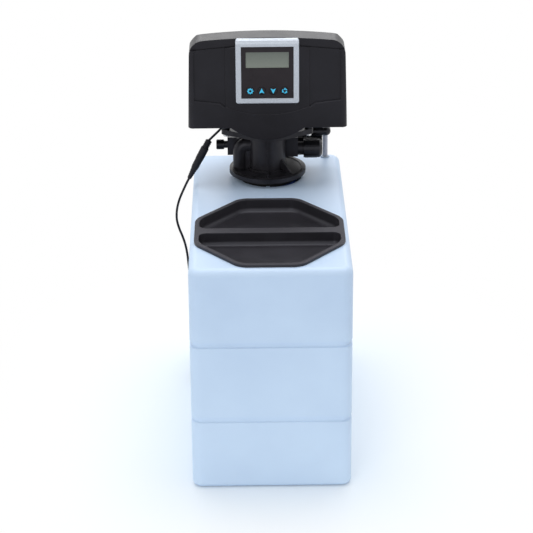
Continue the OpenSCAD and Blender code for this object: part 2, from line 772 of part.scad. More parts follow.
module valve_solid() {
    translate([0, tank_y, 0]) {
        bar_z(spigot_z, seat + eps, 0, 0, spigot_r);
        bar_z(seat, seat + collar_step + eps, 0, 0, tank_neck_d / 2);
        bar_z(seat + collar_step, collar_top, 0, 0, collar_d / 2);
        bar_z(collar_top, collar_top + 3, 0, 0, neck_r + 2.5);
        bar_z(seat, drum_z + eps, 0, 0, neck_r);
        box(-1.5, 1.5, -collar_d / 2 + 6, 0, collar_top - eps, collar_top + 4);
        box(-1.5, 1.5, -neck_r - 2, 0, collar_top, ear_z);
        along_z(ear_z, ear_z + ear_t) ear_plate();
        bar_z(drum_z, drum_top, 0, 0, drum_r);
    }
    side_channel();
    ring(collar_d / 2 - 7, collar_d / 2 - 5, collar_top - eps, collar_top + 0.8);
    translate([0, tank_y, collar_top]) rotate(gusset_turn) collar_gusset();
    bar_x(block_x - eps, brine_end, elbow_y, brine_low, brine_r);
    bar_x(brine_end - 16, brine_end - 1, elbow_y, brine_low, brine_r + 0.6);
    box(-block_x, block_x, port_y - 12, block_y, block_low, block_high);
    for (s = [-1, 1]) {
        bar_z(block_low, drum_z + eps, s * port_x, port_y, port_r + 4);
        bar_y(block_y - eps, stub_end, s * stub_x, stub_z, stub_d / 2);
    }
    box(-drain_face, -block_x + eps, drain_y - 9, drain_y + 9, drain_z - 14, drain_z + 14);
    bar_x(-drain_nut_x - drain_nut_l + 2, -drain_face + eps, drain_y, drain_z, drain_d / 2);
    bar_x(0, inj_end, inj_y, inj_z, inj_d / 2);
    bar_x(block_x - eps, block_x + 4, elbow_y, elbow_z, elbow_r + 2);
    box(block_x - 14, block_x, elbow_y - 10, elbow_y + 10, stub_z, elbow_z + 10);
}
module valve_body() {
    gallery_r = neck_r - neck_wall;
    color([0.13, 0.13, 0.14]) difference() {
        valve_solid();
        ring(socket_r + socket_wall, gallery_r, spigot_z - eps, gallery_top);
        translate([0, tank_y, 0]) {
            bar_z(spigot_z - eps, collar_top - 8, 0, 0, gallery_r);
            bar_z(spigot_z - eps, socket_top, 0, 0, socket_r);
            bar_z(socket_top - eps, chamber_z + eps, 0, 0, port_r);
            bar_z(gallery_top - eps, chamber_z + eps, 0, -gallery_r + 3, 2.6);
            bar_z(chamber_z, drum_top + eps, 0, 0, chamber_r);
            for (s = [-1, 1])
                bar_z(ear_z - eps, ear_z + ear_t + eps, s * ear_span / 2, ear_back, bolt_d / 2 + 0.2);
        }
        for (s = [-1, 1]) {
            bar_z(stub_z, chamber_z + eps, s * port_x, port_y, port_r);
            bar_y(port_y - 7, stub_end + eps, s * stub_x, stub_z, stub_bore_d / 2);
        }
        bar_x(-drain_nut_x - drain_nut_l, -block_x, drain_y, drain_z, drain_bore_d / 2);
        bar_x(inj_start, inj_end + eps, inj_y, inj_z, inj_bore_d / 2);
        bar_x(block_x - 6, block_x + 4 + eps, elbow_y, elbow_z, elbow_r - slide_fit);
    }
}
module drain_nut() {
    ribs = 18;
    color([0.10, 0.10, 0.11]) translate([-drain_nut_x - drain_nut_l, drain_y, drain_z]) rotate([0, 90, 0])
        difference() {
            union() {
                cylinder(h = drain_nut_l, r = drain_nut_d / 2 - 0.6);
                for (k = [0 : ribs - 1]) rotate(k * 360 / ribs)
                    box(drain_nut_d / 2 - 2, drain_nut_d / 2, -0.6, 0.6, 0.8, drain_nut_l - 0.8);
            }
            translate([0, 0, 2]) cylinder(h = drain_nut_l, r = drain_d / 2 + slide_fit);
            translate([0, 0, -eps]) cylinder(h = drain_nut_l, r = drain_bore_d / 2);
        }
}
module injector_cap() {
    flats = 6;
    color([0.11, 0.11, 0.12]) difference() {
        union() {
            bar_x(inj_cap_x, inj_cap_x + inj_cap_l - 4, inj_y, inj_z, inj_cap_d / 2);
            translate([inj_cap_x + inj_cap_l - 4, inj_y, inj_z]) rotate([0, 90, 0])
                cylinder(h = 4, r1 = inj_cap_d / 2, r2 = inj_cap_d / 2 - 4);
            for (k = [0 : flats - 1]) translate([inj_cap_x + 2, inj_y, inj_z]) rotate([k * 360 / flats, 0, 0])
                box(0, inj_cap_l - 10, -1.5, 1.5, inj_cap_d / 2 - 2, inj_cap_d / 2 + 0.8);
        }
        bar_x(inj_cap_x - eps, inj_end + 1, inj_y, inj_z, inj_d / 2 + slide_fit);
    }
}
module injector_nozzle() {
    tip = inj_start + 1;
    color([0.75, 0.25, 0.20]) difference() {
        union() {
            bar_x(inj_end - 8, inj_end - 1, inj_y, inj_z, inj_bore_d / 2 - run_fit);
            translate([tip, inj_y, inj_z]) rotate([0, 90, 0])
                cylinder(h = inj_end - 8 - tip, r1 = 2.5, r2 = inj_bore_d / 2 - 2);
        }
        bar_x(tip - eps, inj_end, inj_y, inj_z, 1.2);
    }
}

// Ceramic discs, their driver and the gear train
function ports_at(s) = [s * port_x, port_y - tank_y];
module port_holes(z0, z1) {
    bar_z(z0, z1, 0, 0, port_r);
    for (s = [-1, 1]) bar_z(z0, z1, ports_at(s).x, ports_at(s).y, port_r);
}
module disc_seal() {
    color([0.15, 0.15, 0.16]) translate([0, tank_y, 0]) difference() {
        bar_z(chamber_z, fixed_z, 0, 0, chamber_r - run_fit);
        port_holes(chamber_z - eps, fixed_z + eps);
    }
}
module fixed_disc() {
    color([0.93, 0.92, 0.88]) translate([0, tank_y, 0]) difference() {
        bar_z(fixed_z, fixed_z + fixed_t, 0, 0, chamber_r - run_fit);
        port_holes(fixed_z - eps, fixed_z + fixed_t + eps);
    }
}
module moving_disc() {
    color([0.20, 0.20, 0.22]) translate([0, tank_y, 0]) difference() {
        bar_z(moving_z, driver_z, 0, 0, chamber_r - 3);
        translate([0, chamber_r * 0.5, 0]) bar_z(moving_z - eps, moving_z + moving_t / 2, 0, 0, port_r + 2);
        bar_z(moving_z - eps, driver_z - 2, 0, 0, port_r);
    }
}
module disc_driver() {
    color([0.85, 0.84, 0.80]) translate([0, tank_y, 0]) {
        bar_z(driver_z, driver_z + driver_t, 0, 0, chamber_r - 6);
        bar_z(driver_z, gear_z + gear_t + 1, 0, 0, shaft_d / 2);
    }
}
module retaining_cap() {
    grips = 12;
    outer = drum_r + cap_wall - 1;
    color([0.16, 0.16, 0.17]) translate([0, tank_y, 0]) difference() {
        union() {
            bar_z(cap_z, cap_top, 0, 0, outer);
            for (k = [0 : grips - 1]) rotate((k + 0.5) * 360 / grips)
                box(outer - 1, outer + 1, -3, 3, cap_z, cap_top - 2);
        }
        bar_z(cap_z - eps, drum_top, 0, 0, drum_r + slide_fit);
        bar_z(drum_top - eps, cap_top + eps, 0, 0, shaft_d / 2 + run_fit);
    }
}
// Involute teeth: half the tooth's angle at a radius, then the tooth's outline
pressure = 25;
tooth_play = 0.12;
function involute(r, base) = let (t = sqrt(max((r / base) ^ 2 - 1, 0))) t * 180 / PI - atan(t);
function tooth_half(r, n) = let (rp = gear_m * n / 2, base = rp * cos(pressure))
    90 / n - tooth_play / rp * 90 / PI + involute(rp, base) - involute(r, base);
function tooth_radii(n) = let (rp = gear_m * n / 2)
    [for (k = [0 : 4]) rp - 1.15 * gear_m + k / 4 * 2.0 * gear_m];
function flank(n, k, dir) = let (rs = tooth_radii(n)) [for (j = [0 : 4])
    let (r = rs[dir < 0 ? j : 4 - j], a = 360 * k / n + dir * tooth_half(r, n)) r * [cos(a), sin(a)]];
module gear_outline(n) {
    polygon([for (k = [0 : n - 1], dir = [-1, 1], p = flank(n, k, dir)) p]);
}
module drive_gear() {
    holes = 6;
    color([0.15, 0.15, 0.16]) translate([0, tank_y, 0]) difference() {
        along_z(gear_z, gear_z + gear_t) gear_outline(gear_teeth);
        bar_z(gear_z - eps, gear_z + gear_t + eps, 0, 0, shaft_d / 2 + run_fit);
        for (k = [0 : holes - 1]) rotate(k * 360 / holes + 30)
            bar_z(gear_z - eps, gear_z + gear_t + eps, (gear_r + shaft_d / 2) / 2, 0, gear_r / 8);
    }
}
module drive_pinion() {
    color([0.88, 0.87, 0.82]) translate([motor_x, tank_y, 0]) {
        rotate(180 + 180 / pinion_teeth) along_z(gear_z - 1, gear_z + gear_t + 1) gear_outline(pinion_teeth);
        bar_z(gear_z, motor_z + 8, 0, 0, motor_shaft_d / 2);
    }
}
module drive_motor() {
    color([0.55, 0.56, 0.58]) difference() {
        union() {
            translate([motor_x, tank_y, 0]) along_z(motor_z, motor_z + gearbox_h)
                round_rect(gearbox_l, gearbox_w, 3);
            bar_z(motor_z + gearbox_h, motor_z + gearbox_h + motor_h, motor_x, tank_y, motor_d / 2);
            bar_z(motor_z + gearbox_h, motor_z + gearbox_h + motor_h + 3, motor_x, tank_y, 4);
        }
        bar_z(motor_z - eps, motor_z + 9, motor_x, tank_y, motor_shaft_d / 2 + run_fit);
    }
}
module motor_bracket() {
    near = motor_x - gearbox_l / 2;
    far = pillar_x + pillar_r;
    color([0.16, 0.16, 0.17]) difference() {
        union() {
            box(near, far, tank_y - pillar_dy - pillar_r, tank_y + pillar_dy + pillar_r, bracket_z, motor_z);
            for (s = [-1, 1])
                bar_z(base_top, bracket_z + eps, pillar_x, tank_y + s * pillar_dy, pillar_r);
        }
        bar_z(bracket_z - eps, motor_z + eps, motor_x, tank_y, motor_shaft_d / 2 + slide_fit);
        for (s = [-1, 1])
            bar_z(motor_z - 14, motor_z + eps, pillar_x, tank_y + s * pillar_dy, screw_d / 2 + 0.1);
    }
}
module position_board() {
    far = gear_r - 4;
    color([0.10, 0.35, 0.18]) {
        box(-13, 13, tank_y - far - 14, tank_y - far + 4, cap_top, cap_top + 1.6);
        box(-2, 2, tank_y - far, tank_y - far + 3, cap_top + 1.6, cap_top + 2.6);
    }
}
module screw_down(x, y, z, l) {
    bar_z(z - l, z + 1, x, y, screw_d / 2);
    bar_z(z, z + 2, x, y, screw_d);
}
module screw_in(x, y, z, l, dir) {
    translate([x, y, z]) rotate([dir * 90, 0, 0]) screw_down(0, 0, 0, l);
}
module small_screws() {
    color([0.70, 0.71, 0.73]) {
        for (s = [-1, 1]) screw_down(pillar_x, tank_y + s * pillar_dy, motor_z, 12);
        for (s = [-1, 1], z = [post_low, post_high]) screw_in(s * post_x, board_y + board_t, z, 5, -1);
    }
}

// Head: outlines crossed, so that the front's edges are true rounds; behind the ridge the top falls away
module head_crown(t) {
    half = head_top_w / 2 - t;
    arch = head_arch - t;
    arch_z = crown_z - head_arch;
    r = head_corner - t;
    cx = head_top_w / 2 - head_corner;
    cz = arch_z + sqrt((head_arch - head_corner) ^ 2 - cx * cx);
    touch = cx + r * cx / (head_arch - head_corner);
    foot = head_w / 2 - t;
    polygon([[-foot, head_z], [foot, head_z], [half, cz], [-half, cz]]);
    for (s = [-1, 1]) translate([s * cx, cz]) circle(r);
    intersection() {
        translate([0, arch_z]) circle(arch, $fn = 256);
        translate([-touch, cz]) square([2 * touch, head_corner + head_h]);
    }
}
module head_slope(t) {
    arch = head_arch - rear_flatten;
    near = head_top_w / 2 - rear_chamfer - t * (sqrt(2) - 1);
    high = crown_z - t;
    low = high - head_w + near;
    intersection() {
        translate([0, crown_z - arch]) circle(arch - t, $fn = 256);
        polygon([[-head_w, 0], [head_w, 0], [head_w, low], [near, high], [-near, high], [-head_w, low]]);
    }
}
module head_front(t) {
    head_crown(t);
    intersection() {
        translate([0, head_z - apron_drop + apron_r]) circle(apron_r - t);
        translate([-apron_r, head_z - apron_drop]) square([2 * apron_r, apron_drop + apron_r / 2]);
    }
}
module head_side(t) {
    r = brow_edge - t;
    rise = crown_z + eps;
    difference() {
        translate([face_y + t, head_z - apron_drop - eps])
            square([head_d - 2 * t, rise - head_z + apron_drop + eps]);
        translate([face_y + t, crown_z - t - r]) difference() {
            translate([-eps, 0]) square([r + eps, r + 3 * eps]);
            translate([r, 0]) circle(r);
        }
    }
}
module head_plan(t) {
    r = front_edge - t;
    b = back_edge - t;
    half = head_w / 2 - t;
    near = face_y + t;
    far = rear_y - t;
    translate([-half, near + r]) square([2 * half, far - near - r - b]);
    translate([-half + r, near]) square([2 * half - 2 * r, r + eps]);
    translate([-half + b, far - b - eps]) square([2 * half - 2 * b, b + eps]);
    for (s = [-1, 1]) {
        translate([s * (half - r), near + r]) circle(r);
        translate([s * (half - b), far - b]) circle(b);
    }
}
module head_block(t) {
    lean = atan(rear_drop / (rear_y - ridge_y));
    intersection() {
        along_y(face_y - eps, rear_y + eps) head_front(t);
        translate([0, ridge_y, crown_z]) rotate([-lean, 0, 0]) translate([0, 0, -crown_z])
            along_y(-head_d, head_d) head_slope(t);
        along_x(-head_w, head_w) head_side(t);
        along_z(head_z - apron_drop - eps, crown_z + 2 * eps) head_plan(t);
    }
}
// Height of the brow's lower edge, which falls away from the middle
function brow_at(x) = crown_z - brow_drop - brow_slope * (x - middle_w / 2);
module middle_shape() {
    low = head_z + smile_rise;
    intersection() {
        translate([-middle_w / 2, low]) square([middle_w, crown_z - brow_drop + 4 - low]);
        translate([0, low + smile_r]) circle(smile_r, $fn = 128);
    }
}
module side_panel_shape(s) {
    x0 = middle_w / 2;
    x1 = head_top_w / 2 - 6.5;
    polygon([[s * x0, head_z + 32], [s * (x0 + 7.5), head_z + 38], [s * x1, head_z + 43],
        [s * x1, brow_at(x1) - 3], [s * (x1 - 6), brow_at(x1 - 6) + 2], [s * x0, brow_at(x0) + 2]]);
}
module brow_shape() {
    near = bezel_w / 2;
    far = head_w / 2 + 5;
    high = crown_z + 5;
    polygon([[-far, brow_at(far)], [-near, brow_at(near)], [near, brow_at(near)], [far, brow_at(far)],
        [far, high], [-far, high]]);
}
module front_shell() {
    difference() {
        intersection() {
            head_block(0);
            box(-head_w, head_w, face_y - eps, ridge_y, 0, crown_z + eps);
        }
        intersection() {
            head_block(cover_wall);
            box(-head_w, head_w, wall_y, ridge_y + eps, 0, crown_z);
        }
        along_y(face_y - eps, middle_y) middle_shape();
        for (s = [-1, 1]) along_y(face_y - eps, face_y + panel_sink) side_panel_shape(s);
        along_y(face_y - eps, brow_y) brow_shape();
        along_y(ridge_y - 20, ridge_y + eps) translate([-head_w / 2, 0]) square([head_w, head_z]);
    }
}
module front_cover() {
    color([0.17, 0.17, 0.19]) difference() {
        union() {
            front_shell();
            for (s = [-1, 1]) {
                for (z = [boss_low, boss_high]) bar_y(wall_y - 1, ridge_y, s * boss_x, z, boss_r);
                for (z = [post_low, post_high]) bar_y(wall_y - 1, board_y, s * post_x, z, 3.5);
            }
        }
        along_y(face_y - eps, wall_y + eps) translate([0, window_z + window_h / 2])
            square([window_w + 4, window_h + 4], center = true);
        for (s = [-1, 1]) {
            for (z = [boss_low, boss_high])
                bar_y(ridge_y - 16, ridge_y + eps, s * boss_x, z, screw_d / 2 + 0.05);
            for (z = [post_low, post_high])
                bar_y(board_y - 4, board_y + eps, s * post_x, z, screw_d / 2 + 0.05);
        }
    }
}
module rear_cover() {
    sink = ridge_y + boss_sink;
    color([0.15, 0.15, 0.17]) difference() {
        union() {
            difference() {
                intersection() {
                    head_block(0);
                    box(-head_w, head_w, ridge_y + 0.1, rear_y + eps, head_z, crown_z + eps);
                }
                intersection() {
                    head_block(cover_wall);
                    box(-head_w, head_w, ridge_y - eps, rear_y, 0, crown_z);
                }
            }
            for (s = [-1, 1], z = [boss_low, boss_high])
                bar_y(ridge_y + 0.1, rear_y - 1, s * boss_x, z, boss_r);
        }
        for (s = [-1, 1], z = [boss_low, boss_high]) {
            bar_y(ridge_y - eps, rear_y, s * boss_x, z, screw_d / 2 + 0.15);
            bar_y(sink, rear_y + eps, s * boss_x, z, screw_d + 0.5);
        }
    }
}
module cover_screws() {
    long = 20;
    color([0.70, 0.71, 0.73]) for (s = [-1, 1], z = [boss_low, boss_high])
        screw_in(s * boss_x, ridge_y + boss_sink, z, long, -1);
}
module head_base() {
    near = wall_y + 0.5;
    far = rear_y - cover_wall - 1;
    corner = 12;
    color([0.14, 0.14, 0.15]) difference() {
        union() {
            translate([0, (near + far) / 2, 0]) along_z(base_z, base_top)
                round_rect(head_w - 2 * cover_wall - 4, far - near, corner);
            for (s = [-1, 1]) bar_z(ear_z + ear_t, base_z + eps, s * ear_span / 2, ear_y, ear_r - 1);
        }
        bar_z(base_z - eps, base_top + eps, 0, tank_y, drum_r + slide_fit);
        for (s = [-1, 1]) bar_z(ear_z, base_z - 2, s * ear_span / 2, ear_y, bolt_d / 2 + 0.1);
        bar_z(base_z - eps, base_top + eps, gland_x, gland_y, 4 + 0.1);
    }
}
module base_bolts() {
    color([0.72, 0.73, 0.75]) for (s = [-1, 1]) translate([s * ear_span / 2, ear_y, 0]) {
        bar_z(ear_z - 1, base_z - 4, 0, 0, bolt_d / 2);
        bar_z(ear_z - 3.5, ear_z, 0, 0, bolt_d * 0.9);
    }
}

// Display: bezel, panel, glass, board and buttons
module bezel_face() {
    translate([0, bezel_z + bezel_h / 2]) round_rect(bezel_w, bezel_h, bezel_corner);
}
module bezel() {
    lap = brow_at(bezel_w / 2) + 0.2;
    color([0.76, 0.78, 0.82]) difference() {
        union() {
            along_y(bezel_y, middle_y) bezel_face();
            along_y(middle_y - eps, brow_y) intersection() {
                bezel_face();
                translate([-bezel_w / 2, lap]) square([bezel_w, bezel_h]);
            }
            along_y(middle_y - eps, wall_y) translate([0, window_z + window_h / 2])
                round_rect(window_w + 3.6, window_h + 3.6, 1.6);
        }
        along_y(bezel_y - eps, wall_y + eps) translate([0, window_z + window_h / 2])
            square([window_w, window_h], center = true);
    }
}
function button_x(k) = (k - 1.5) * button_pitch;
module lcd_shape(inset) {
    translate([0, lcd_z + lcd_h / 2]) square([lcd_w - 2 * inset, lcd_h - 2 * inset], center = true);
}
module display_panel() {
    color([0.20, 0.17, 0.18]) difference() {
        along_y(panel_y, panel_back) translate([0, window_z + window_h / 2])
            square([window_w - 0.2, window_h - 0.2], center = true);
        along_y(panel_y - eps, panel_back + eps) lcd_shape(0);
        for (k = [0 : 3])
            bar_y(panel_y - eps, panel_back + eps, button_x(k), button_z, button_d / 2 + slide_fit);
    }
}
module lcd_module() {
    color([0.50, 0.54, 0.48]) {
        along_y(panel_y + 1, panel_back) lcd_shape(0.2);
        along_y(panel_back, board_y) lcd_shape(-3);
    }
}
module control_board() {
    color([0.10, 0.35, 0.18]) difference() {
        box(-board_w / 2, board_w / 2, board_y, board_y + board_t, board_z, board_z + board_h);
        for (s = [-1, 1], z = [post_low, post_high])
            bar_y(board_y - eps, board_y + board_t + eps, s * post_x, z, screw_d / 2 + 0.2);
    }
}
switch_h = 5;
module button_switches() {
    color([0.20, 0.20, 0.22]) for (k = [0 : 3]) {
        box(button_x(k) - 3, button_x(k) + 3, board_y - switch_h + 1.5, board_y, button_z - 3, button_z + 3);
        bar_y(board_y - switch_h, board_y, button_x(k), button_z, 1.6);
    }
}
module button(k) {
    stem_end = board_y - switch_h - button_travel - slide_fit;
    color([0.16, 0.14, 0.15]) {
        bar_y(panel_y - button_travel, panel_back + slide_fit + 1, button_x(k), button_z, button_d / 2);
        bar_y(panel_back + slide_fit, panel_back + slide_fit + 1.2, button_x(k), button_z,
            button_d / 2 + 1.2);
        bar_y(panel_back + slide_fit, stem_end, button_x(k), button_z, 2);
    }
}
module button_menu() { button(0); }
module button_up() { button(1); }
module button_down() { button(2); }
module button_regen() { button(3); }

// Brine line: elbow on the valve, tube into the cabinet, float valve in its well
module brine_elbow() {
    color([0.12, 0.12, 0.13]) {
        difference() {
            union() {
                bar_x(block_x - 5, tube_x, elbow_y, elbow_z, elbow_r - slide_fit - run_fit);
                bar_x(block_x + 4, tube_x - 6, elbow_y, elbow_z, elbow_r + 2);
                translate([tube_x, elbow_y, elbow_z]) sphere(elbow_r);
                bar_y(elbow_y, tube_y, tube_x, elbow_z, elbow_r);
                translate([tube_x, tube_y, elbow_z]) sphere(elbow_r);
                bar_z(elbow_z - elbow_drop, elbow_z, tube_x, tube_y, elbow_r - 1.5);
            }
            bar_z(elbow_z - elbow_drop - eps, elbow_z - 2, tube_x, tube_y, tube_r + 0.1);
        }
    }
}
module brine_nut() {
    ribs = 16;
    low = elbow_z - elbow_drop - 3;
    high = elbow_z - elbow_r - slide_fit;
    color([0.10, 0.10, 0.11]) translate([tube_x, tube_y, 0]) difference() {
        union() {
            bar_z(low, high, 0, 0, elbow_r + 0.5);
            for (k = [0 : ribs - 1]) rotate(k * 360 / ribs)
                box(elbow_r - 1, elbow_r + 1, -0.6, 0.6, low + 0.8, high - 0.8);
        }
        bar_z(low - eps, high + eps, 0, 0, tube_r + slide_fit);
        bar_z(elbow_z - elbow_drop - slide_fit, high + eps, 0, 0, elbow_r - 1.5 + slide_fit);
    }
}
module brine_tube() {
    color([0.62, 0.63, 0.66]) sweep(smooth(TUBE, 4), tube_r, 10);
}
module tube_grommet() {
    color([0.12, 0.12, 0.12]) translate([tube_x, tube_y, 0]) difference() {
        union() {
            bar_z(cab_h - cab_wall, cab_h + 1.5, 0, 0, tube_r + 1.9);
            bar_z(cab_h, cab_h + 1.5, 0, 0, tube_r + 3);
        }
        bar_z(cab_h - cab_wall - eps, cab_h + 2 * eps, 0, 0, tube_r + 0.2);
    }
}
module brine_well() {
    slots = 8;
    slot_top = 40;
    color([0.88, 0.89, 0.90]) translate([well_x, well_y, 0]) difference() {
        bar_z(well_z, well_top, 0, 0, well_r);
        bar_z(well_z + 3, well_top + eps, 0, 0, well_r - well_wall);
        for (k = [0 : slots - 1]) rotate(k * 360 / slots + 22.5)
            box(well_r - 5, well_r + eps, -2, 2, well_z + 6, well_z + slot_top);
        bar_y(0, well_d, 0, inlet_z, tube_r + 1);
    }
}
module well_cap() {
    knob_h = 9;
    color([0.13, 0.13, 0.14]) translate([well_x, well_y, 0]) difference() {
        union() {
            bar_z(well_top, well_top + 3, 0, 0, well_r + 2);
            bar_z(well_top - 8, well_top + eps, 0, 0, well_r - well_wall - slide_fit);
            bar_z(well_top, well_top + knob_h, 0, 0, 7);
        }
        bar_z(well_top - 8 - eps, well_top, 0, 0, well_r - well_wall - 3);
    }
}
lug_low = 45;
lug_drop = 48;
lug_high = well_top - lug_drop;
foot_h = 16;
module float_valve() {
    foot = well_z + 3;
    color([0.90, 0.90, 0.90]) translate([well_x, 0, 0]) difference() {
        union() {
            bar_z(foot + 4, inlet_z, 0, pickup_y, pickup_d / 2);
            bar_z(foot, foot + foot_h, 0, pickup_y, pickup_d / 2 + 3);
            translate([0, pickup_y, inlet_z]) sphere(pickup_d / 2 + 1);
            bar_y(pickup_y, pickup_y + arm_l, 0, inlet_z, pickup_d / 2 + 1);
            for (z = [lug_low, lug_high]) {
                box(-4, 4, rod_y, pickup_y, z, z + 4);
                bar_z(z, z + 4, 0, rod_y, 4);
            }
        }
        bar_z(foot - eps, inlet_z, 0, pickup_y, pickup_d / 2 - 2);
        bar_y(pickup_y + arm_l - tube_in - 0.2, pickup_y + arm_l + eps, 0, inlet_z, tube_r + 0.1);
        for (z = [lug_low, lug_high]) bar_z(z - eps, z + 4 + eps, 0, rod_y, rod_d / 2 + slide_fit);
    }
}
module float_rod() {
    color([0.80, 0.80, 0.80]) {
        bar_z(lug_low - 20, lug_high + 10, well_x, rod_y, rod_d / 2);
        bar_z(lug_low + 4 + slide_fit, lug_low + 8, well_x, rod_y, rod_d / 2 + 2);
    }
}
module brine_float() {
    color([0.86, 0.87, 0.88]) translate([well_x, rod_y, 0]) difference() {
        bar_z(float_z, float_z + float_h, 0, 0, float_d / 2);
        bar_z(float_z - eps, float_z + float_h + eps, 0, 0, rod_d / 2 + run_fit);
    }
}
module overflow_elbow() {
    hose_r = overflow_bore_d / 2 + 1.9;
    drop = 12;
    spout_l = 30;
    color([0.14, 0.14, 0.15]) difference() {
        union() {
            bar_y(back_y - cab_wall - 6, back_y + drop, overflow_x, overflow_z, hose_r);
            bar_y(back_y - cab_wall - 4, back_y - cab_wall, overflow_x, overflow_z, hose_r + 4);
            bar_y(back_y, back_y + 3, overflow_x, overflow_z, hose_r + 4);
            bar_z(overflow_z - spout_l, overflow_z + hose_r, overflow_x, back_y + drop, hose_r);
        }
        bar_y(back_y - cab_wall - 6 - eps, back_y + drop, overflow_x, overflow_z, overflow_bore_d / 2);
        bar_z(overflow_z - spout_l - eps, overflow_z + overflow_bore_d / 2, overflow_x, back_y + drop,
            overflow_bore_d / 2);
    }
}

// Flow meter in the outlet: a turbine between two spiders
wheel_y = block_y + 6;
wheel_l = 9;
module turbine() {
    blades = 6;
    color([0.90, 0.90, 0.92]) translate([stub_x, wheel_y, stub_z]) rotate([-90, 0, 0]) {
        cylinder(h = wheel_l, r = 2.6);
        translate([0, 0, -5]) cylinder(h = wheel_l + 10, r = 1);
        for (k = [0 : blades - 1]) rotate(k * 360 / blades) translate([0, 0, wheel_l / 2])
            rotate([30, 0, 0]) box(2, stub_bore_d / 2 - 1.4, -0.5, 0.5, -3.5, 3.5);
    }
}
module spider() {
    difference() {
        union() {
            difference() {
                cylinder(h = 3, r = stub_bore_d / 2 - run_fit);
                translate([0, 0, -eps]) cylinder(h = 3 + 2 * eps, r = stub_bore_d / 2 - 1.4);
            }
            cylinder(h = 3, r = 2.6);
            for (k = [0 : 2]) rotate(k * 120) box(2, stub_bore_d / 2 - 1, -0.6, 0.6, 0, 3);
        }
        translate([0, 0, -eps]) cylinder(h = 3 + 2 * eps, r = 1 + run_fit);
    }
}
module turbine_cage() {
    color([0.75, 0.76, 0.78]) for (y = [wheel_y - 4, wheel_y + wheel_l + 1])
        translate([stub_x, y, stub_z]) rotate([-90, 0, 0]) spider();
}

// Power lead: gland, pigtail, in-line connectors, lead, coil and adapter
module cable_gland() {
    color([0.10, 0.10, 0.10]) translate([gland_x, gland_y, 0]) difference() {
        union() {
            bar_z(base_z - 2, base_top + 1, 0, 0, 4);
            bar_z(base_z - 2, base_z, 0, 0, 6);
            translate([0, 0, gland_tip]) cylinder(h = base_z - gland_tip, r1 = lead_r + 1, r2 = 4);
        }
        bar_z(gland_tip - eps, base_top + 2, 0, 0, lead_r + 0.1);
    }
}
module pigtail() {
    color([0.07, 0.07, 0.08]) sweep(concat([[gland_x, gland_y, base_top]], smooth(PIGTAIL, 3)), lead_r, 8);
}
// Places a piece along the connectors' line, from the socket's end
module on_link(at) {
    turn = atan2(link_dir.y, link_dir.x);
    tip = acos(link_dir.z);
    translate(link_top + at * link_dir) rotate([0, tip, turn]) children();
}
link_l = norm(link_tip - link_top);
socket_l = 34;
module dc_socket() {
    ribs = 4;
    color([0.07, 0.07, 0.08]) difference() {
        union() {
            on_link(0) cylinder(h = 14, r = link_d / 2 - 2);
            for (k = [0 : ribs - 1]) on_link(1 + k * 3) cylinder(h = 1.6, r = link_d / 2 - 1);
            on_link(12) cylinder(h = socket_l - 12, r = link_d / 2);
        }
        on_link(socket_l - 10) cylinder(h = 10 + eps, r = 2.8);
        on_link(-eps) cylinder(h = entry + eps, r = lead_r + 0.1);
    }
}
module dc_plug() {
    taper = link_l - socket_l - 14;
    color([0.07, 0.07, 0.08]) difference() {
        union() {
            on_link(socket_l - 9) cylinder(h = 10, r = 2.7);
            on_link(socket_l) cylinder(h = 14, r = link_d / 2 - 0.4);
            on_link(socket_l + 14) cylinder(h = taper, r1 = link_d / 2 - 0.4, r2 = lead_r + 1.2);
        }
        on_link(link_l - entry) cylinder(h = entry + eps, r = lead_r + 0.1);
    }
}
module power_lead() {
    color([0.07, 0.07, 0.08]) sweep(smooth(LEAD, 3), lead_r, 8);
}
// The coil spirals in on the floor, climbs a layer in the half turn where it reverses, and spirals out
coil_inner = coil_r - coil_loops * coil_pitch;
coil_steps = 24;
half_turn = coil_steps / 2;
function coil_point(i) = let (n = coil_loops * coil_steps, j = i - n, up = j - half_turn,
        a = -90 + 360 * i / coil_steps,
        r = j < 0 ? coil_inner - coil_pitch * j / coil_steps
            : up < 0 ? coil_inner - coil_dip * sin(180 * j / half_turn)
            : coil_inner + coil_pitch * up / coil_steps,
        z = j < 0 ? 0 : up < 0 ? coil_pitch * (1 - cos(180 * j / half_turn)) / 2 : coil_pitch)
    [coil_x + r * cos(a), coil_y + r * sin(a), coil_z + z];
coil_last = 2 * coil_loops * coil_steps + 2 * half_turn;
coil_head = LEAD[len(LEAD) - 1];
function coil_route() = concat([coil_head], [for (i = [0 : coil_last]) coil_point(i)],
    [coil_point(coil_last) + [coil_tail / 2, 0, 0], coil_point(coil_last) + [coil_tail, 0, 0]]);
function to_segment(p, a, b) = let (d = b - a, t = min(max((p - a) * d / (d * d), 0), 1)) norm(p - a - t * d);
function coil_gap(p) = min([for (i = [0 : len(p) - 1], j = [0 : len(p) - 2])
    if (abs(i - j) > half_turn) to_segment(p[i], p[j], p[j + 1])]) - lead_d;
module lead_coil() {
    echo(least_gap_in_coil = coil_gap(coil_route()));
    color([0.07, 0.07, 0.08]) sweep(coil_route(), lead_r, 6);
}
module coil_tie() {
    low = coil_inner - lead_r - 1.2;
    high = coil_r + lead_r + 1;
    top = coil_z + coil_pitch + lead_r + 0.4;
    bottom = coil_z - lead_r - 0.4;
    color([0.10, 0.10, 0.10]) translate([coil_x, coil_y, 0]) difference() {
        box(-tie_w / 2, tie_w / 2, low - tie_t, high + tie_t, bottom - tie_t, top + tie_t);
        box(-tie_w, tie_w, low, high, bottom, top);
    }
}
relief_x = coil_x + coil_tail;
adapter_x = relief_x + 18;
adapter_y = coil_point(coil_last).y;
case_y = adapter_y + adapter_w / 2 - 8;
tail_z = coil_z + coil_pitch;
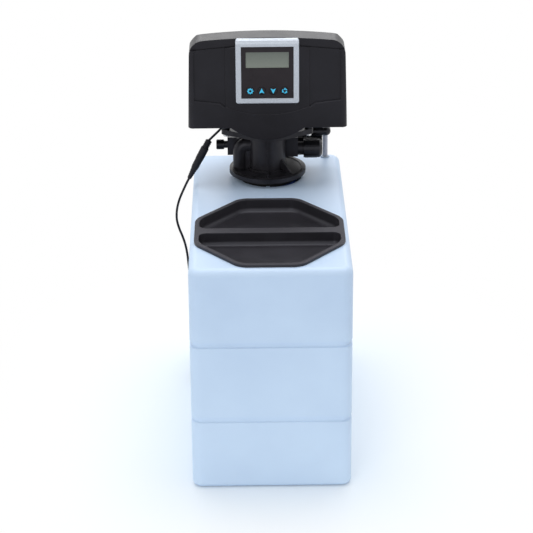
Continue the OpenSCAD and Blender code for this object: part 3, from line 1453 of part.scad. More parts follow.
module power_adapter() {
    color([0.09, 0.09, 0.10]) {
        translate([relief_x, adapter_y, tail_z]) rotate([0, 90, 0])
            cylinder(h = adapter_x - relief_x + eps, r1 = lead_r + 0.8, r2 = lead_r + 2.6);
        translate([0, case_y, adapter_h / 2]) rotate([0, 90, 0])
            translate([0, 0, adapter_x]) linear_extrude(adapter_l) round_rect(adapter_h, adapter_w, 5);
    }
}
pin_gap = 19;
pin_l = 19;
module adapter_pins() {
    face = adapter_x + adapter_l;
    color([0.80, 0.70, 0.42]) for (s = [-1, 1])
        bar_x(face, face + pin_l, case_y + s * pin_gap / 2, adapter_h / 2, plug_pin_d / 2);
}

cabinet();
salt_lid();
resin_tank();
tank_boot();
resin_bed();
riser_pipe();
lower_distributor();
upper_strainer();
tank_o_ring();
valve_body();
disc_seal();
fixed_disc();
moving_disc();
disc_driver();
retaining_cap();
drive_gear();
drive_pinion();
drive_motor();
motor_bracket();
position_board();
head_base();
base_bolts();
front_cover();
rear_cover();
cover_screws();
bezel();
display_panel();
lcd_module();
control_board();
small_screws();
button_menu();
button_up();
button_down();
button_regen();
button_switches();
injector_cap();
injector_nozzle();
brine_elbow();
brine_nut();
brine_tube();
tube_grommet();
brine_well();
well_cap();
float_valve();
float_rod();
brine_float();
overflow_elbow();
drain_nut();
turbine();
turbine_cage();
cable_gland();
pigtail();
dc_socket();
dc_plug();
power_lead();
lead_coil();
coil_tie();
power_adapter();
adapter_pins();
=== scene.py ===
# %% [markdown]
# ## A cabinet water softener
# A pale salt cabinet stands on the floor with a dark lid in its top. Behind the lid, a black valve
# rises out of the resin tank and carries a charcoal control head with a display and four keys.
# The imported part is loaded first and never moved. New pieces are modelled over it in the same frame,
# in metres, so that each one lands where the solid is.

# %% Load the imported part
import json
import math

import bmesh
import bpy
from mathutils import Matrix, Vector


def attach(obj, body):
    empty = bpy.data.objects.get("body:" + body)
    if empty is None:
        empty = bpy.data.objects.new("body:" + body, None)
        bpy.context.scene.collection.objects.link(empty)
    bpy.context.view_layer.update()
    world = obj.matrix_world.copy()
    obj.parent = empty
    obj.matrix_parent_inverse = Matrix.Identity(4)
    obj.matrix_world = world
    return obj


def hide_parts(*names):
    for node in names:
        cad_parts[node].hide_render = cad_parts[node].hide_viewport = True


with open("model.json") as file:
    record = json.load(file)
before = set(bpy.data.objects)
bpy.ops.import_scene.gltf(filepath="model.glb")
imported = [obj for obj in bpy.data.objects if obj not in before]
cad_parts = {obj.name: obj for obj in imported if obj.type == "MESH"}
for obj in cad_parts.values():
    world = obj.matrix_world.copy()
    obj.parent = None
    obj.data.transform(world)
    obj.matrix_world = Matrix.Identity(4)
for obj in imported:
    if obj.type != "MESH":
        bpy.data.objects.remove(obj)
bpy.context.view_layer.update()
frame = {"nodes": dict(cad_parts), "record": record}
MM = 0.001

# %% [markdown]
# ### Camera
# The photograph was taken from a little above, from far off and with a long lens, so the cabinet's
# sides hardly converge. The lens and the place were worked out from the corners of the cabinet. The
# picture leans by less than half a degree, and the camera is rolled by the same amount.

# %% Camera at the photograph's angle
EYE_MM = (-26.7, -2741.0, 1423.8)
AHEAD = (0.00767, 0.9182, -0.3960)
LEAN_DEGREES = 0.417
LENS_MM, SENSOR_MM = 136.76, 36
FARTHEST_M = 100
UP = (0, 0, 1)

eye = Vector(EYE_MM) * MM
ahead = Vector(AHEAD).normalized()
level = ahead.cross(Vector(UP)).normalized()
above = level.cross(ahead)
lean = math.radians(LEAN_DEGREES)
side = level * math.cos(lean) - above * math.sin(lean)
top = above * math.cos(lean) + level * math.sin(lean)

camera_data = bpy.data.cameras.new("photo_camera")
camera_data.sensor_width = SENSOR_MM
camera_data.lens = LENS_MM
camera_data.clip_end = FARTHEST_M
camera = bpy.data.objects.new("photo_camera", camera_data)
bpy.context.scene.collection.objects.link(camera)
turn = Matrix((side, top, -ahead)).transposed().to_4x4()
camera.matrix_world = Matrix.Translation(eye) @ turn
bpy.context.scene.camera = camera
print("camera at", [round(x, 3) for x in eye])

# %% [markdown]
# ### Cords
# The thin power lead hangs from the head, passes through a two-part connector, runs down the cabinet's
# left side and lies wound up behind it. A stiffer tube carries brine from the valve into the cabinet.
# A cord is a curve with a round bevel: its points are the route, and one smooth rule fills in between.

# %% A smooth route through chosen points
ROUTE_STEPS = 6
CORD_FACETS = 5


def between(a, b, c, d, t):
    """The place a share t of the way from b to c, on a curve that also heeds the points on either side."""
    second = 2 * a - 5 * b + 4 * c - d
    third = 3 * b - 3 * c + d - a
    return 0.5 * (2 * b + (c - a) * t + second * t * t + third * t ** 3)


def smooth_route(points):
    points = [Vector(p) for p in points]
    last = len(points) - 1
    route = []
    for i in range(last):
        a, b, c, d = points[max(i - 1, 0)], points[i], points[i + 1], points[min(i + 2, last)]
        route += [between(a, b, c, d, k / ROUTE_STEPS) for k in range(ROUTE_STEPS)]
    return route + [points[last]]


def route_length(route):
    return sum((b - a).length for a, b in zip(route, route[1:])) * MM


def cord_along(name, route, radius):
    data = bpy.data.curves.new(name, "CURVE")
    data.dimensions = "3D"
    data.bevel_depth = radius * MM
    data.bevel_resolution = CORD_FACETS
    data.use_fill_caps = True
    spline = data.splines.new("POLY")
    spline.points.add(len(route) - 1)
    for point, place in zip(spline.points, route):
        point.co = (*(place * MM), 1)
        point.radius = 1
    spline.use_smooth = True
    cord = bpy.data.objects.new(name, data)
    bpy.context.scene.collection.objects.link(cord)
    print(name, "is", round(route_length(route), 3), "m long")
    return cord


# %% Pigtail and connector line
LEAD_R = 1.75
gland = Vector((-66, 100, 430))
link_top = Vector((-87, 100, 404))
link_tip = Vector((-118, 100, 344))
link_way = (link_tip - link_top).normalized()

pigtail_points = [gland + Vector(p) for p in [
    (0, 0, 0), (-0.9, 0, -3.6), (-2.8, 0, -7.2), (-5.6, 0, -10.5), (-9, 0, -13.9), (-12.5, 0, -17.4),
    (-16, 0, -20.8)]]
pigtail_points += [link_top + at * link_way for at in (0, 3.5)]
pigtail_route = smooth_route(pigtail_points)
pigtail = cord_along("pigtail_cable", pigtail_route, LEAD_R)

# %% Lead with its coil
CAB_HALF_W, CAB_HALF_D = 112.5, 230
corner = Vector((-CAB_HALF_W, CAB_HALF_D, 0))
lead_points = [link_tip + at * link_way for at in (-3.5, 2, 8)]
lead_points += [corner + Vector(p) for p in [
    (-16, -130, 322), (-21.5, -130, 308), (-25, -130, 293), (-25.5, -130, 278), (-22.5, -130, 264),
    (-17.5, -130, 250), (-13.5, -130, 236), (-11, -130, 221), (-9.5, -130, 205), (-7.5, -130, 180),
    (-5.5, -130, 150), (-4.5, -130, 120), (-4.5, -130, 90), (-4.5, -129, 60), (-4.5, -126, 36),
    (-4.5, -118, 18), (-4.5, -104, 6), (-4.5, -86, 3), (-4.5, -65, 3), (-4.5, -40, 3), (-4.5, -22, 3),
    (-1.5, -8, 3), (6.5, 3, 3), (18.5, 10, 3), (28.5, 11, 3), (36.5, 11, 3)]]

coil_mid = Vector((-70, 268, 3))
LOOPS, PER_LOOP, PITCH, CORE = 4, 48, 4.0, 11.0
TO_ADAPTER = (13, 26, 44, 62)


def coil_point(i):
    """The coil winds in on the floor, climbs in half a turn, and winds out again on top of itself."""
    inward = LOOPS * PER_LOOP
    past, half = i - inward, PER_LOOP / 2
    angle = math.radians(-90 + 360 * i / PER_LOOP)
    if past < 0:
        reach, rise = CORE - PITCH * past / PER_LOOP, 0
    elif past < half:
        climb = math.pi * past / half
        reach, rise = CORE - math.sin(climb), PITCH * (1 - math.cos(climb)) / 2
    else:
        reach, rise = CORE + PITCH * (past - half) / PER_LOOP, PITCH
    return coil_mid + Vector((reach * math.cos(angle), reach * math.sin(angle), rise))


lead_route = smooth_route(lead_points)
lead_route += [coil_point(i) for i in range((2 * LOOPS + 1) * PER_LOOP + 1)]
lead_route += [lead_route[-1] + Vector((reach, 0, 0)) for reach in TO_ADAPTER]
lead = cord_along("power_cable", lead_route, LEAD_R)

# %% Brine tube
TUBE_R = 4.0
tube_points = [
    (90, 212, 382), (90, 212, 347), (90, 212, 330), (90, 212, 325), (90, 207.7, 309), (90, 196, 297.3),
    (91, 178, 293), (92, 147, 291), (92, 112, 287), (90, 74.74, 280), (80.5, 43, 268), (64.667, 12.64, 253),
    (54, -8.06, 243), (52, -16, 240), (52, -25, 240), (52, -32, 240)]
tube_route = smooth_route(tube_points)
brine_tube = cord_along("brine_hose", tube_route, TUBE_R)

# %% [markdown]
# ### Light and floor
# The photograph is a bright studio shot: white all round, one wide soft light overhead, a little more
# from the front, and one behind, which brightens the sloping top of the head. The lamps light the
# object at a plain level. The white behind it comes from the floor, which glows only for the camera
# and its mirror images and only away from the object, so that the soft shadow at the cabinet's foot
# stays. The room round it gives a dimmer light than the white it shows.

# %% Soft light
def soft_box(name, place, aim, width, watts):
    data = bpy.data.lights.new(name, "AREA")
    data.shape = "SQUARE"
    data.size = width
    data.energy = watts
    lamp = bpy.data.objects.new(name, data)
    bpy.context.scene.collection.objects.link(lamp)
    way = (Vector(aim) - Vector(place)).normalized()
    facing = way.to_track_quat("-Z", "Y").to_matrix().to_4x4()
    lamp.matrix_world = Matrix.Translation(Vector(place)) @ facing
    print(name, watts, "W")


soft_box("ceiling_light", place=(0.0, 0.5, 2.6), aim=(0, 0, 0.2), width=2.4, watts=42)
soft_box("front_light", place=(-1.3, -3.0, 1.9), aim=(0, 0, 0.3), width=1.6, watts=20)
soft_box("rear_light", place=(0.0, 2.8, 1.7), aim=(0, 0.1, 0.5), width=1.8, watts=13)
bpy.context.scene.view_settings.view_transform = "Standard"

# %% [markdown]
# ### Shader sums
# Finishes are made of nodes. Adding each Math node by hand is slow to write and to read, so a small
# class wraps a socket and lets Python's own signs add the nodes: `1 - mask` or `grain * 0.3` are then
# plain sums.

# %% A socket that takes part in sums
class Wire:
    def __init__(self, paint, socket):
        self.paint = paint
        self.socket = socket

    def sum_with(self, operation, first, second):
        return self.paint.add("ShaderNodeMath", {"operation": operation}, {0: first, 1: second})

    def __add__(self, other):
        return self.sum_with("ADD", self, other)

    def __radd__(self, other):
        return self.sum_with("ADD", other, self)

    def __sub__(self, other):
        return self.sum_with("SUBTRACT", self, other)

    def __rsub__(self, other):
        return self.sum_with("SUBTRACT", other, self)

    def __mul__(self, other):
        return self.sum_with("MULTIPLY", self, other)

    def __rmul__(self, other):
        return self.sum_with("MULTIPLY", other, self)


# %% A finish and its nodes
class Paint:
    """A material or a world, and one method that adds any node to it."""

    def __init__(self, name, world=False):
        self.owner = (bpy.data.worlds if world else bpy.data.materials).new(name)
        self.owner.use_nodes = True
        self.tree = self.owner.node_tree
        self.tree.nodes.clear()
        self.output = self.tree.nodes.new("ShaderNodeOutputWorld" if world else "ShaderNodeOutputMaterial")

    def add(self, kind, settings, sockets, out=0):
        node = self.tree.nodes.new(kind)
        for key, value in settings.items():
            setattr(node, key, value)
        for key, value in sockets.items():
            if isinstance(value, Wire):
                self.tree.links.new(value.socket, node.inputs[key])
            else:
                node.inputs[key].default_value = value
        return Wire(self, node.outputs[out])

    def place(self):
        return self.add("ShaderNodeTexCoord", {}, {}, "Object")

    def axis(self, name):
        return self.add("ShaderNodeSeparateXYZ", {}, {0: self.place()}, name)

    def noise(self, grain, detail=3.0, stretch=None):
        """Soft noise whose lumps are about grain millimetres across."""
        where = self.place()
        if stretch:
            where = self.add("ShaderNodeMapping", {}, {"Vector": where, "Scale": stretch})
        sockets = {"Vector": where, "Scale": 1000 / grain, "Detail": detail}
        return self.add("ShaderNodeTexNoise", {}, sockets)

    def blend(self, factor, first, second):
        return self.add("ShaderNodeMix", {"data_type": "RGBA"}, {0: factor, 6: first, 7: second}, 2)

    def bump(self, height, depth, strength=0.5):
        sockets = {"Strength": strength, "Distance": depth * MM, "Height": height}
        return self.add("ShaderNodeBump", {}, sockets)

    def looked_at(self):
        """1 for what the camera sees, in a mirror or through glass too, and 0 for rays that carry light."""
        camera, mirror, glass = [self.add("ShaderNodeLightPath", {}, {}, "Is " + kind + " Ray")
                                 for kind in ("Camera", "Glossy", "Transmission")]
        return self.add("ShaderNodeClamp", {}, {0: camera + mirror + glass})

    def ends_in(self, shader):
        self.tree.links.new(shader.socket, self.output.inputs["Surface"])
        return self.owner

    def surface(self, sockets):
        return self.ends_in(self.add("ShaderNodeBsdfPrincipled", {}, sockets))


def srgb(red, green, blue):
    """A colour as it reads in a picture, 0 to 255, as the linear colour that a shader needs."""
    def linear(c):
        c = c / 255
        return c / 12.92 if c <= 0.04045 else ((c + 0.055) / 1.055) ** 2.4
    return (linear(red), linear(green), linear(blue), 1.0)


print("shader sums ready")

# %% White floor
FLOOR_M, FLOOR_DROP_M = 40, 0.0002
# The floor's own colour is tinted blue: painted bounce light from the blue cabinet, which shows round its
# foot where the floor does not glow.
FLOOR_BOUNCE_BLUE = (0.89, 0.95, 1.0, 1)
WHITE = (1, 1, 1, 1)
GLOW_FROM_M, GLOW_TO_M = -0.05, 0.32

bpy.ops.object.select_all(action="DESELECT")
bpy.ops.mesh.primitive_plane_add(size=FLOOR_M, location=(0, 0, -FLOOR_DROP_M))
floor = bpy.context.object
floor.name = "studio_floor"
sheet = Paint("white_floor")


def beyond(axis, half):
    """How far a place lies outside the cabinet along one axis."""
    size = sheet.add("ShaderNodeMath", {"operation": "ABSOLUTE"}, {0: sheet.axis(axis)})
    return sheet.add("ShaderNodeMath", {"operation": "MAXIMUM"}, {0: size - half * MM, 1: 0.0})


across, along = beyond("X", CAB_HALF_W), beyond("Y", CAB_HALF_D)
gap = sheet.add("ShaderNodeMath", {"operation": "SQRT"}, {0: across * across + along * along})
away = sheet.add("ShaderNodeMapRange", {"interpolation_type": "SMOOTHSTEP"},
                 {0: gap, 1: GLOW_FROM_M, 2: GLOW_TO_M})
matt = sheet.add("ShaderNodeBsdfDiffuse", {}, {"Color": FLOOR_BOUNCE_BLUE})
glow = sheet.add("ShaderNodeEmission", {}, {"Color": WHITE, "Strength": 1.0})
both = sheet.add("ShaderNodeMixShader", {}, {0: away * sheet.looked_at(), 1: matt, 2: glow})
floor.data.materials.append(sheet.ends_in(both))
print(floor.name, FLOOR_M, "m wide")

# %% White surroundings
ROOM_LIGHT, ROOM_SEEN = 0.58, 1.0
room = Paint("white_room", world=True)
strength = room.add("ShaderNodeMapRange", {},
                    {"Value": room.looked_at(), "To Min": ROOM_LIGHT, "To Max": ROOM_SEEN})
back = room.add("ShaderNodeBackground", {}, {"Color": WHITE, "Strength": strength})
bpy.context.scene.world = room.ends_in(back)
print("room lights at", ROOM_LIGHT, "and is seen at", ROOM_SEEN)

# %% [markdown]
# ### Finishes
# Most of the softener is moulded plastic. A moulding is never one flat colour: its tint drifts a little
# over a few centimetres, its gloss varies with it, and the mould's texture gives a fine grain. One
# recipe with the colour, gloss, grain and drift of each plastic covers them all, and the few others get
# recipes of their own. The cabinet's colour is painted paler towards the floor, as painted bounce light
# from it. The top faces of the lid's rim and bar are painted paler, as a painted highlight where they
# face the light, and their roughness is raised.

# %% Recipe for moulded plastic
COOL_SHINE = (0.87, 0.88, 1.0, 1.0)
CLOUD_LOW, CLOUD_HIGH = 0.3, 0.7
# The second share is the part of the cabinet's tint given to painted bounce light from the floor, paler low
# down.
OWN_TINT, BOUNCE_PAINT_SHARE = 0.3, 0.7
ROUGH_BY_CLOUD, ROUGH_BY_GRAIN = 0.16, 0.10
GRAIN_STRENGTH = 0.6
COAT_ROUGHNESS = 0.12


def moulded(name, dark, light, gloss, grain, depth, drift, streak=None, coat=0.0, shine=0.5,
            floor_bounce_paint_height=0, painted_lit_top=None):
    """A tint that drifts between two colours, a gloss that varies, and a fine grain; lengths in mm."""
    paint = Paint(name)
    cloud = paint.noise(drift, 4.0, streak)
    fine = paint.noise(grain, 2.0)
    tint = paint.add("ShaderNodeMapRange", {}, {0: cloud, 1: CLOUD_LOW, 2: CLOUD_HIGH})
    # Painted bounce light: the tint grows paler towards the floor, standing for light thrown up from it.
    if floor_bounce_paint_height:
        bounce_fade = paint.axis("Z") * (BOUNCE_PAINT_SHARE / (floor_bounce_paint_height * MM))
        tint = paint.add("ShaderNodeClamp", {}, {0: tint * OWN_TINT + BOUNCE_PAINT_SHARE - bounce_fade})
    colour = paint.blend(tint, srgb(*dark), srgb(*light))
    rough = gloss + (cloud - 0.5) * ROUGH_BY_CLOUD + (fine - 0.5) * ROUGH_BY_GRAIN
    # Painted highlight: faces at the given height are painted paler where they face the light; their
    # roughness is raised too.
    if painted_lit_top:
        height, painted_highlight_colour, duller = painted_lit_top
        top_band = paint.add("ShaderNodeMapRange", {},
                        {0: paint.axis("Z"), 1: (height - 1) * MM, 2: height * MM})
        colour = paint.blend(top_band, colour, srgb(*painted_highlight_colour))
        rough = rough + top_band * duller
    sockets = {"Base Color": colour, "Roughness": rough, "Specular IOR Level": shine,
               "Specular Tint": COOL_SHINE, "Normal": paint.bump(fine, depth, GRAIN_STRENGTH)}
    if coat:
        sockets["Coat Weight"] = coat
        sockets["Coat Roughness"] = COAT_ROUGHNESS
    return paint.surface(sockets)


# %% Moulded plastics
CAB_H, LID_TOP = 335, 339
FINISH = {
    "cabinet_shell": moulded("pale_cabinet_plastic", (192, 213, 238), (212, 232, 253), gloss=0.42,
                             grain=1.4, depth=0.05, drift=90, floor_bounce_paint_height=CAB_H),
    # The lid's top faces get a painted highlight, paler than its pockets.
    "lid_plastic": moulded("grained_lid_plastic", (32, 31, 35), (40, 39, 44), gloss=0.40, grain=0.9,
                           depth=0.10, drift=45, shine=0.42, painted_lit_top=(LID_TOP - 0.2, (46, 45, 50), 0.22)),
    "head_plastic": moulded("charcoal_head_plastic", (19, 18, 21), (27, 26, 30), gloss=0.38, grain=0.8,
                            depth=0.07, drift=38, shine=0.28),
    "valve_plastic": moulded("glass_filled_plastic", (22, 21, 24), (44, 43, 47), gloss=0.38, grain=0.7,
                             depth=0.08, drift=16, streak=(1, 1, 0.45), shine=0.27),
    "fitting_black": moulded("satin_fitting_plastic", (15, 15, 17), (23, 23, 26), gloss=0.28, grain=0.6,
                             depth=0.04, drift=20, shine=0.35),
    "gear_plastic": moulded("black_acetal", (28, 28, 30), (38, 38, 41), gloss=0.30, grain=0.5,
                            depth=0.03, drift=18, shine=0.3),
    "switch_plastic": moulded("switch_nylon", (30, 30, 32), (40, 40, 42), gloss=0.45, grain=0.5,
                              depth=0.05, drift=15, shine=0.3),
    "adapter_case": moulded("adapter_plastic", (24, 24, 26), (33, 33, 36), gloss=0.42, grain=0.7,
                            depth=0.10, drift=30, shine=0.3),
    "pipe_plastic": moulded("off_white_pipe", (214, 213, 208), (228, 227, 222), gloss=0.40, grain=0.8,
                            depth=0.03, drift=40),
    "nylon": moulded("natural_nylon", (222, 219, 207), (234, 232, 222), gloss=0.36, grain=0.6,
                     depth=0.03, drift=20),
    "well_plastic": moulded("white_well_plastic", (222, 224, 228), (234, 236, 239), gloss=0.42, grain=1.0,
                            depth=0.05, drift=50),
    "injector_red": moulded("red_nylon", (176, 52, 42), (198, 66, 52), gloss=0.38, grain=0.6,
                            depth=0.03, drift=12),
    "button_face": moulded("key_plastic", (26, 23, 24), (34, 30, 31), gloss=0.36, grain=0.4,
                           depth=0.04, drift=10, shine=0.25),
    "panel_face": moulded("dark_film", (38, 33, 35), (45, 40, 42), gloss=0.30, grain=0.3,
                          depth=0.02, drift=30, shine=0.2),
    "seal_rubber": moulded("seal_rubber", (22, 22, 22), (32, 32, 32), gloss=0.60, grain=0.5,
                           depth=0.05, drift=15, shine=0.25),
    "boot_rubber": moulded("boot_rubber", (30, 30, 31), (42, 42, 43), gloss=0.68, grain=1.2,
                           depth=0.12, drift=40, shine=0.25),
    "lead_rubber": moulded("cable_sheath", (16, 16, 18), (25, 25, 28), gloss=0.44, grain=0.5,
                           depth=0.05, drift=12, shine=0.25),
    "tube_grey": moulded("grey_tube", (168, 170, 180), (188, 190, 200), gloss=0.34, grain=0.7,
                         depth=0.03, drift=14, streak=(1, 1, 0.15)),
    "ceramic": moulded("lapped_ceramic", (234, 231, 222), (243, 241, 234), gloss=0.18, grain=0.4,
                       depth=0.01, drift=25, coat=0.5),
    "carbon": moulded("lapped_carbon", (44, 44, 47), (58, 58, 61), gloss=0.28, grain=0.4,
                      depth=0.02, drift=15),
}
PALE_SEAL = moulded("pale_seal_rubber", (164, 180, 198), (176, 192, 209), gloss=0.5, grain=0.5,
                    depth=0.05, drift=15)
print("moulded finishes:", len(FINISH) + 1)

# %% Silver paint, metals and board
def silver_paint():
    paint = Paint("silver_bezel_paint")
    flake = paint.add("ShaderNodeTexVoronoi", {}, {"Vector": paint.place(), "Scale": 2600.0}, "Color")
    shine = paint.add("ShaderNodeSeparateColor", {}, {0: flake}, 0)
    drift = paint.noise(40, 3.0)
    return paint.surface({"Base Color": paint.blend(shine, srgb(176, 183, 194), srgb(204, 210, 219)),
                          "Metallic": 0.35, "Roughness": 0.34 + (drift - 0.5) * 0.12 + shine * 0.05,
                          "Normal": paint.bump(shine, 0.01, 0.25)})


def metal(name, dark, light, gloss, stretch):
    paint = Paint(name)
    brushed = paint.noise(0.8, 3.0, stretch)
    stain = paint.noise(12, 3.0)
    return paint.surface({"Base Color": paint.blend(stain, srgb(*dark), srgb(*light)), "Metallic": 1.0,
                          "Roughness": gloss + (brushed - 0.5) * 0.22 + (stain - 0.5) * 0.1,
                          "Normal": paint.bump(brushed, 0.02, 0.3)})


def circuit_board():
    paint = Paint("circuit_board")
    track = paint.add("ShaderNodeTexBrick", {"offset": 0.37, "squash": 1.0},
                      {"Vector": paint.place(), "Scale": 90.0, "Mortar Size": 0.03,
                       "Color1": srgb(24, 92, 48), "Color2": srgb(30, 104, 55),
                       "Mortar": srgb(64, 140, 84)}, "Color")
    weave = paint.noise(0.6, 2.0)
    return paint.surface({"Base Color": track, "Roughness": 0.32 + weave * 0.2,
                          "Normal": paint.bump(weave, 0.03)})


# %% Display, wound tank, beads, foam and key marks
DISPLAY_LOW, DISPLAY_HIGH = 527, 551
TANK_Y = 131
PAINTED_SHADE_FROM_M, PAINTED_SHADE_TO_M = 0.3324, 0.3330
WINDING_UP, WINDING_ROUND = 900, 24


def display_glass():
    """Grey green, a little darker towards its top, where the frame shades it."""
    paint = Paint("display_glass")
    rise = paint.add("ShaderNodeMapRange", {},
                     {0: paint.axis("Z"), 1: DISPLAY_LOW * MM, 2: DISPLAY_HIGH * MM})
    drift = paint.noise(9, 2.0)
    tone = paint.add("ShaderNodeClamp", {}, {0: rise + (drift - 0.5) * 0.12})
    return paint.surface({"Base Color": paint.blend(tone, srgb(120, 127, 117), srgb(91, 99, 91)),
                          "Roughness": 0.16 + drift * 0.06, "Coat Weight": 0.6, "Coat Roughness": 0.05})


def wound_tank():
    """Blue winding in two directions, painted near black at its top as painted shade under the valve's
    collar.
    """
    paint = Paint("wound_blue_tank")
    rise = paint.axis("Z")
    around = paint.add("ShaderNodeMath", {"operation": "ARCTAN2"},
                       {0: paint.axis("Y") - TANK_Y * MM, 1: paint.axis("X")})
    climb, circle = rise * WINDING_UP, around * WINDING_ROUND
    left = paint.add("ShaderNodeMath", {"operation": "SINE"}, {0: climb + circle})
    right = paint.add("ShaderNodeMath", {"operation": "SINE"}, {0: climb - circle})
    wound = left * right * 0.5 + 0.5
    blue = paint.blend(wound, srgb(18, 56, 132), srgb(30, 76, 158))
    # Painted shade: above this height the blue gives way to near black, standing for the shade under the
    # collar.
    neck = paint.add("ShaderNodeMapRange", {}, {0: rise, 1: PAINTED_SHADE_FROM_M, 2: PAINTED_SHADE_TO_M})
    return paint.surface({"Base Color": paint.blend(neck, blue, srgb(20, 20, 22)),
                          "Roughness": 0.30 + wound * 0.12, "Normal": paint.bump(wound, 0.15)})


def resin_beads():
    paint = Paint("resin_beads")
    bead = paint.add("ShaderNodeTexVoronoi", {}, {"Vector": paint.place(), "Scale": 900.0})
    # Each bead is painted darker towards its rim: painted shade between the round beads.
    return paint.surface({"Base Color": paint.blend(bead, srgb(206, 150, 66), srgb(140, 88, 34)),
                          "Roughness": 0.3 + bead * 0.3, "Normal": paint.bump(1 - bead, 0.5)})


def float_foam():
    paint = Paint("float_foam")
    cell = paint.add("ShaderNodeTexVoronoi", {"feature": "DISTANCE_TO_EDGE"},
                     {"Vector": paint.place(), "Scale": 420.0})
    return paint.surface({"Base Color": paint.blend(cell, srgb(206, 209, 214), srgb(232, 234, 237)),
                          "Roughness": 0.62 - cell * 0.2, "Normal": paint.bump(cell, 0.2)})


def key_mark():
    paint = Paint("cyan_key_mark_painted_glow")
    drift = paint.noise(3, 2.0)
    colour = paint.blend(drift, srgb(44, 178, 226), srgb(76, 206, 244))
    # Painted light: the mark also glows faintly, though it is no lamp.
    return paint.surface({"Base Color": colour, "Roughness": 0.42 + (drift - 0.5) * 0.1,
                          "Emission Color": colour, "Emission Strength": 0.12})


FINISH.update({
    "bezel_silver": silver_paint(), "circuit": circuit_board(), "display": display_glass(),
    "tank_shell": wound_tank(), "resin_beads": resin_beads(), "float_plastic": float_foam(),
    "motor_steel": metal("plated_can", (176, 178, 182), (196, 198, 202), 0.30, (1, 1, 0.1)),
    "screw_steel": metal("plain_steel", (188, 190, 193), (206, 208, 210), 0.26, (1, 1, 1)),
    "pin_brass": metal("plated_brass", (196, 168, 104), (214, 188, 124), 0.24, (0.2, 1, 1)),
})
MARK = key_mark()
print("finishes in all:", len(FINISH) + 2)

# %% [markdown]
# ### Hand tools
# Each new piece starts as a primitive and is shaped in edit mode. These helpers do what a hand does
# there: put a block in place, pick edges by where they lie, turn an outline on the lathe, carve one
# piece with another, and soften the sharp edges that are left.

# %% Blocks and picking
def hands_off():
    """Leaves edit mode and deselects everything."""
    if bpy.context.mode != "OBJECT":
        bpy.ops.object.mode_set(mode="OBJECT")
    bpy.ops.object.select_all(action="DESELECT")


def alone(piece):
    """Selects one piece and nothing else."""
    hands_off()
    piece.select_set(True)
    bpy.context.view_layer.objects.active = piece


def edit(piece):
    """Goes into edit mode on one piece, unless it is being edited already."""
    if bpy.context.mode != "EDIT_MESH":
        alone(piece)
        bpy.ops.object.mode_set(mode="EDIT")


def block(name, low, high):
    """A cube primitive from corner to corner, in millimetres."""
    hands_off()
    low, high = Vector(low) * MM, Vector(high) * MM
    bpy.ops.mesh.primitive_cube_add(size=1, location=(low + high) / 2, scale=high - low)
    bpy.ops.object.transform_apply(location=True, rotation=True, scale=True)
    piece = bpy.context.object
    piece.name = name
    return piece


def pick(piece, part, test, bend=0):
    """In edit mode, selects the edges or faces whose middle and direction or normal pass a test."""
    edit(piece)
    bpy.ops.mesh.select_mode(type="EDGE" if part == "edges" else "FACE")
    bpy.ops.mesh.select_all(action="DESELECT")
    mesh = bmesh.from_edit_mesh(piece.data)
    found = 0
    for item in (mesh.edges if part == "edges" else mesh.faces):
        if part == "edges":
            if item.calc_face_angle(bend) < bend:
                continue
            one, two = item.verts[0].co, item.verts[1].co
            middle, way = (one + two) / 2, (two - one).normalized()
        else:
            middle, way = item.calc_center_median(), item.normal
        if test(middle / MM, way):
            item.select_set(True)
            found += 1
    bmesh.update_edit_mesh(piece.data)
    return found


# %% Cutting, rounding and carving
REAL_BEND = 0.5


def upright(mid, way):
    return abs(way.z) > 0.9


def fore_and_aft(mid, way):
    return abs(way.y) > 0.9


def round_edges(piece, test, radius, steps):
    pick(piece, "edges", test, bend=REAL_BEND)
    bpy.ops.mesh.bevel(offset=radius * MM, segments=steps, affect="EDGES")


def cut_level(piece, height):
    """Cuts a level line all round a piece."""
    edit(piece)
    bpy.ops.mesh.select_all(action="SELECT")
    bpy.ops.mesh.bisect(plane_co=(0, 0, height * MM), plane_no=UP)


def slice_off(piece, point, normal):
    """Cuts a piece with a plane, takes away the side that the normal points to, and closes the cut."""
    edit(piece)
    bpy.ops.mesh.select_all(action="SELECT")
    bpy.ops.mesh.bisect(plane_co=Vector(point) * MM, plane_no=normal, clear_outer=True, use_fill=True)


def carve(piece, tool, how="DIFFERENCE"):
    """A Boolean modifier, applied at once; the tool is thrown away."""
    alone(piece)
    cut = piece.modifiers.new("carve", "BOOLEAN")
    cut.operation = how
    cut.object = tool
    cut.solver = "EXACT"
    bpy.ops.object.modifier_apply(modifier=cut.name)
    bpy.data.objects.remove(tool)


def thicken(piece, thickness, offset, even=False):
    """Gives a surface a wall, inwards for an offset of -1 and to both sides for 0."""
    alone(piece)
    wall = piece.modifiers.new("wall", "SOLIDIFY")
    wall.thickness = thickness * MM
    wall.offset = offset
    wall.use_even_offset = even
    bpy.ops.object.modifier_apply(modifier=wall.name)


# %% Soft edges and dressing
SMOOTH_DEGREES = 38


def soften(piece, radius, steps=3, sharper_than=40, weighed=False):
    """Rounds what is still sharp, or only the edges that have a weight, and shades the rest smooth."""
    alone(piece)
    if radius:
        edge = piece.modifiers.new("soft_edges", "BEVEL")
        edge.width = radius * MM
        edge.segments = steps
        edge.limit_method = "WEIGHT" if weighed else "ANGLE"
        edge.use_clamp_overlap = not weighed
        edge.angle_limit = math.radians(sharper_than)
        bpy.ops.object.modifier_apply(modifier=edge.name)
    bpy.ops.object.shade_smooth_by_angle(angle=math.radians(SMOOTH_DEGREES))
    even = piece.modifiers.new("even_shading", "WEIGHTED_NORMAL")
    even.keep_sharp = True
    bpy.ops.object.modifier_apply(modifier=even.name)
    return piece


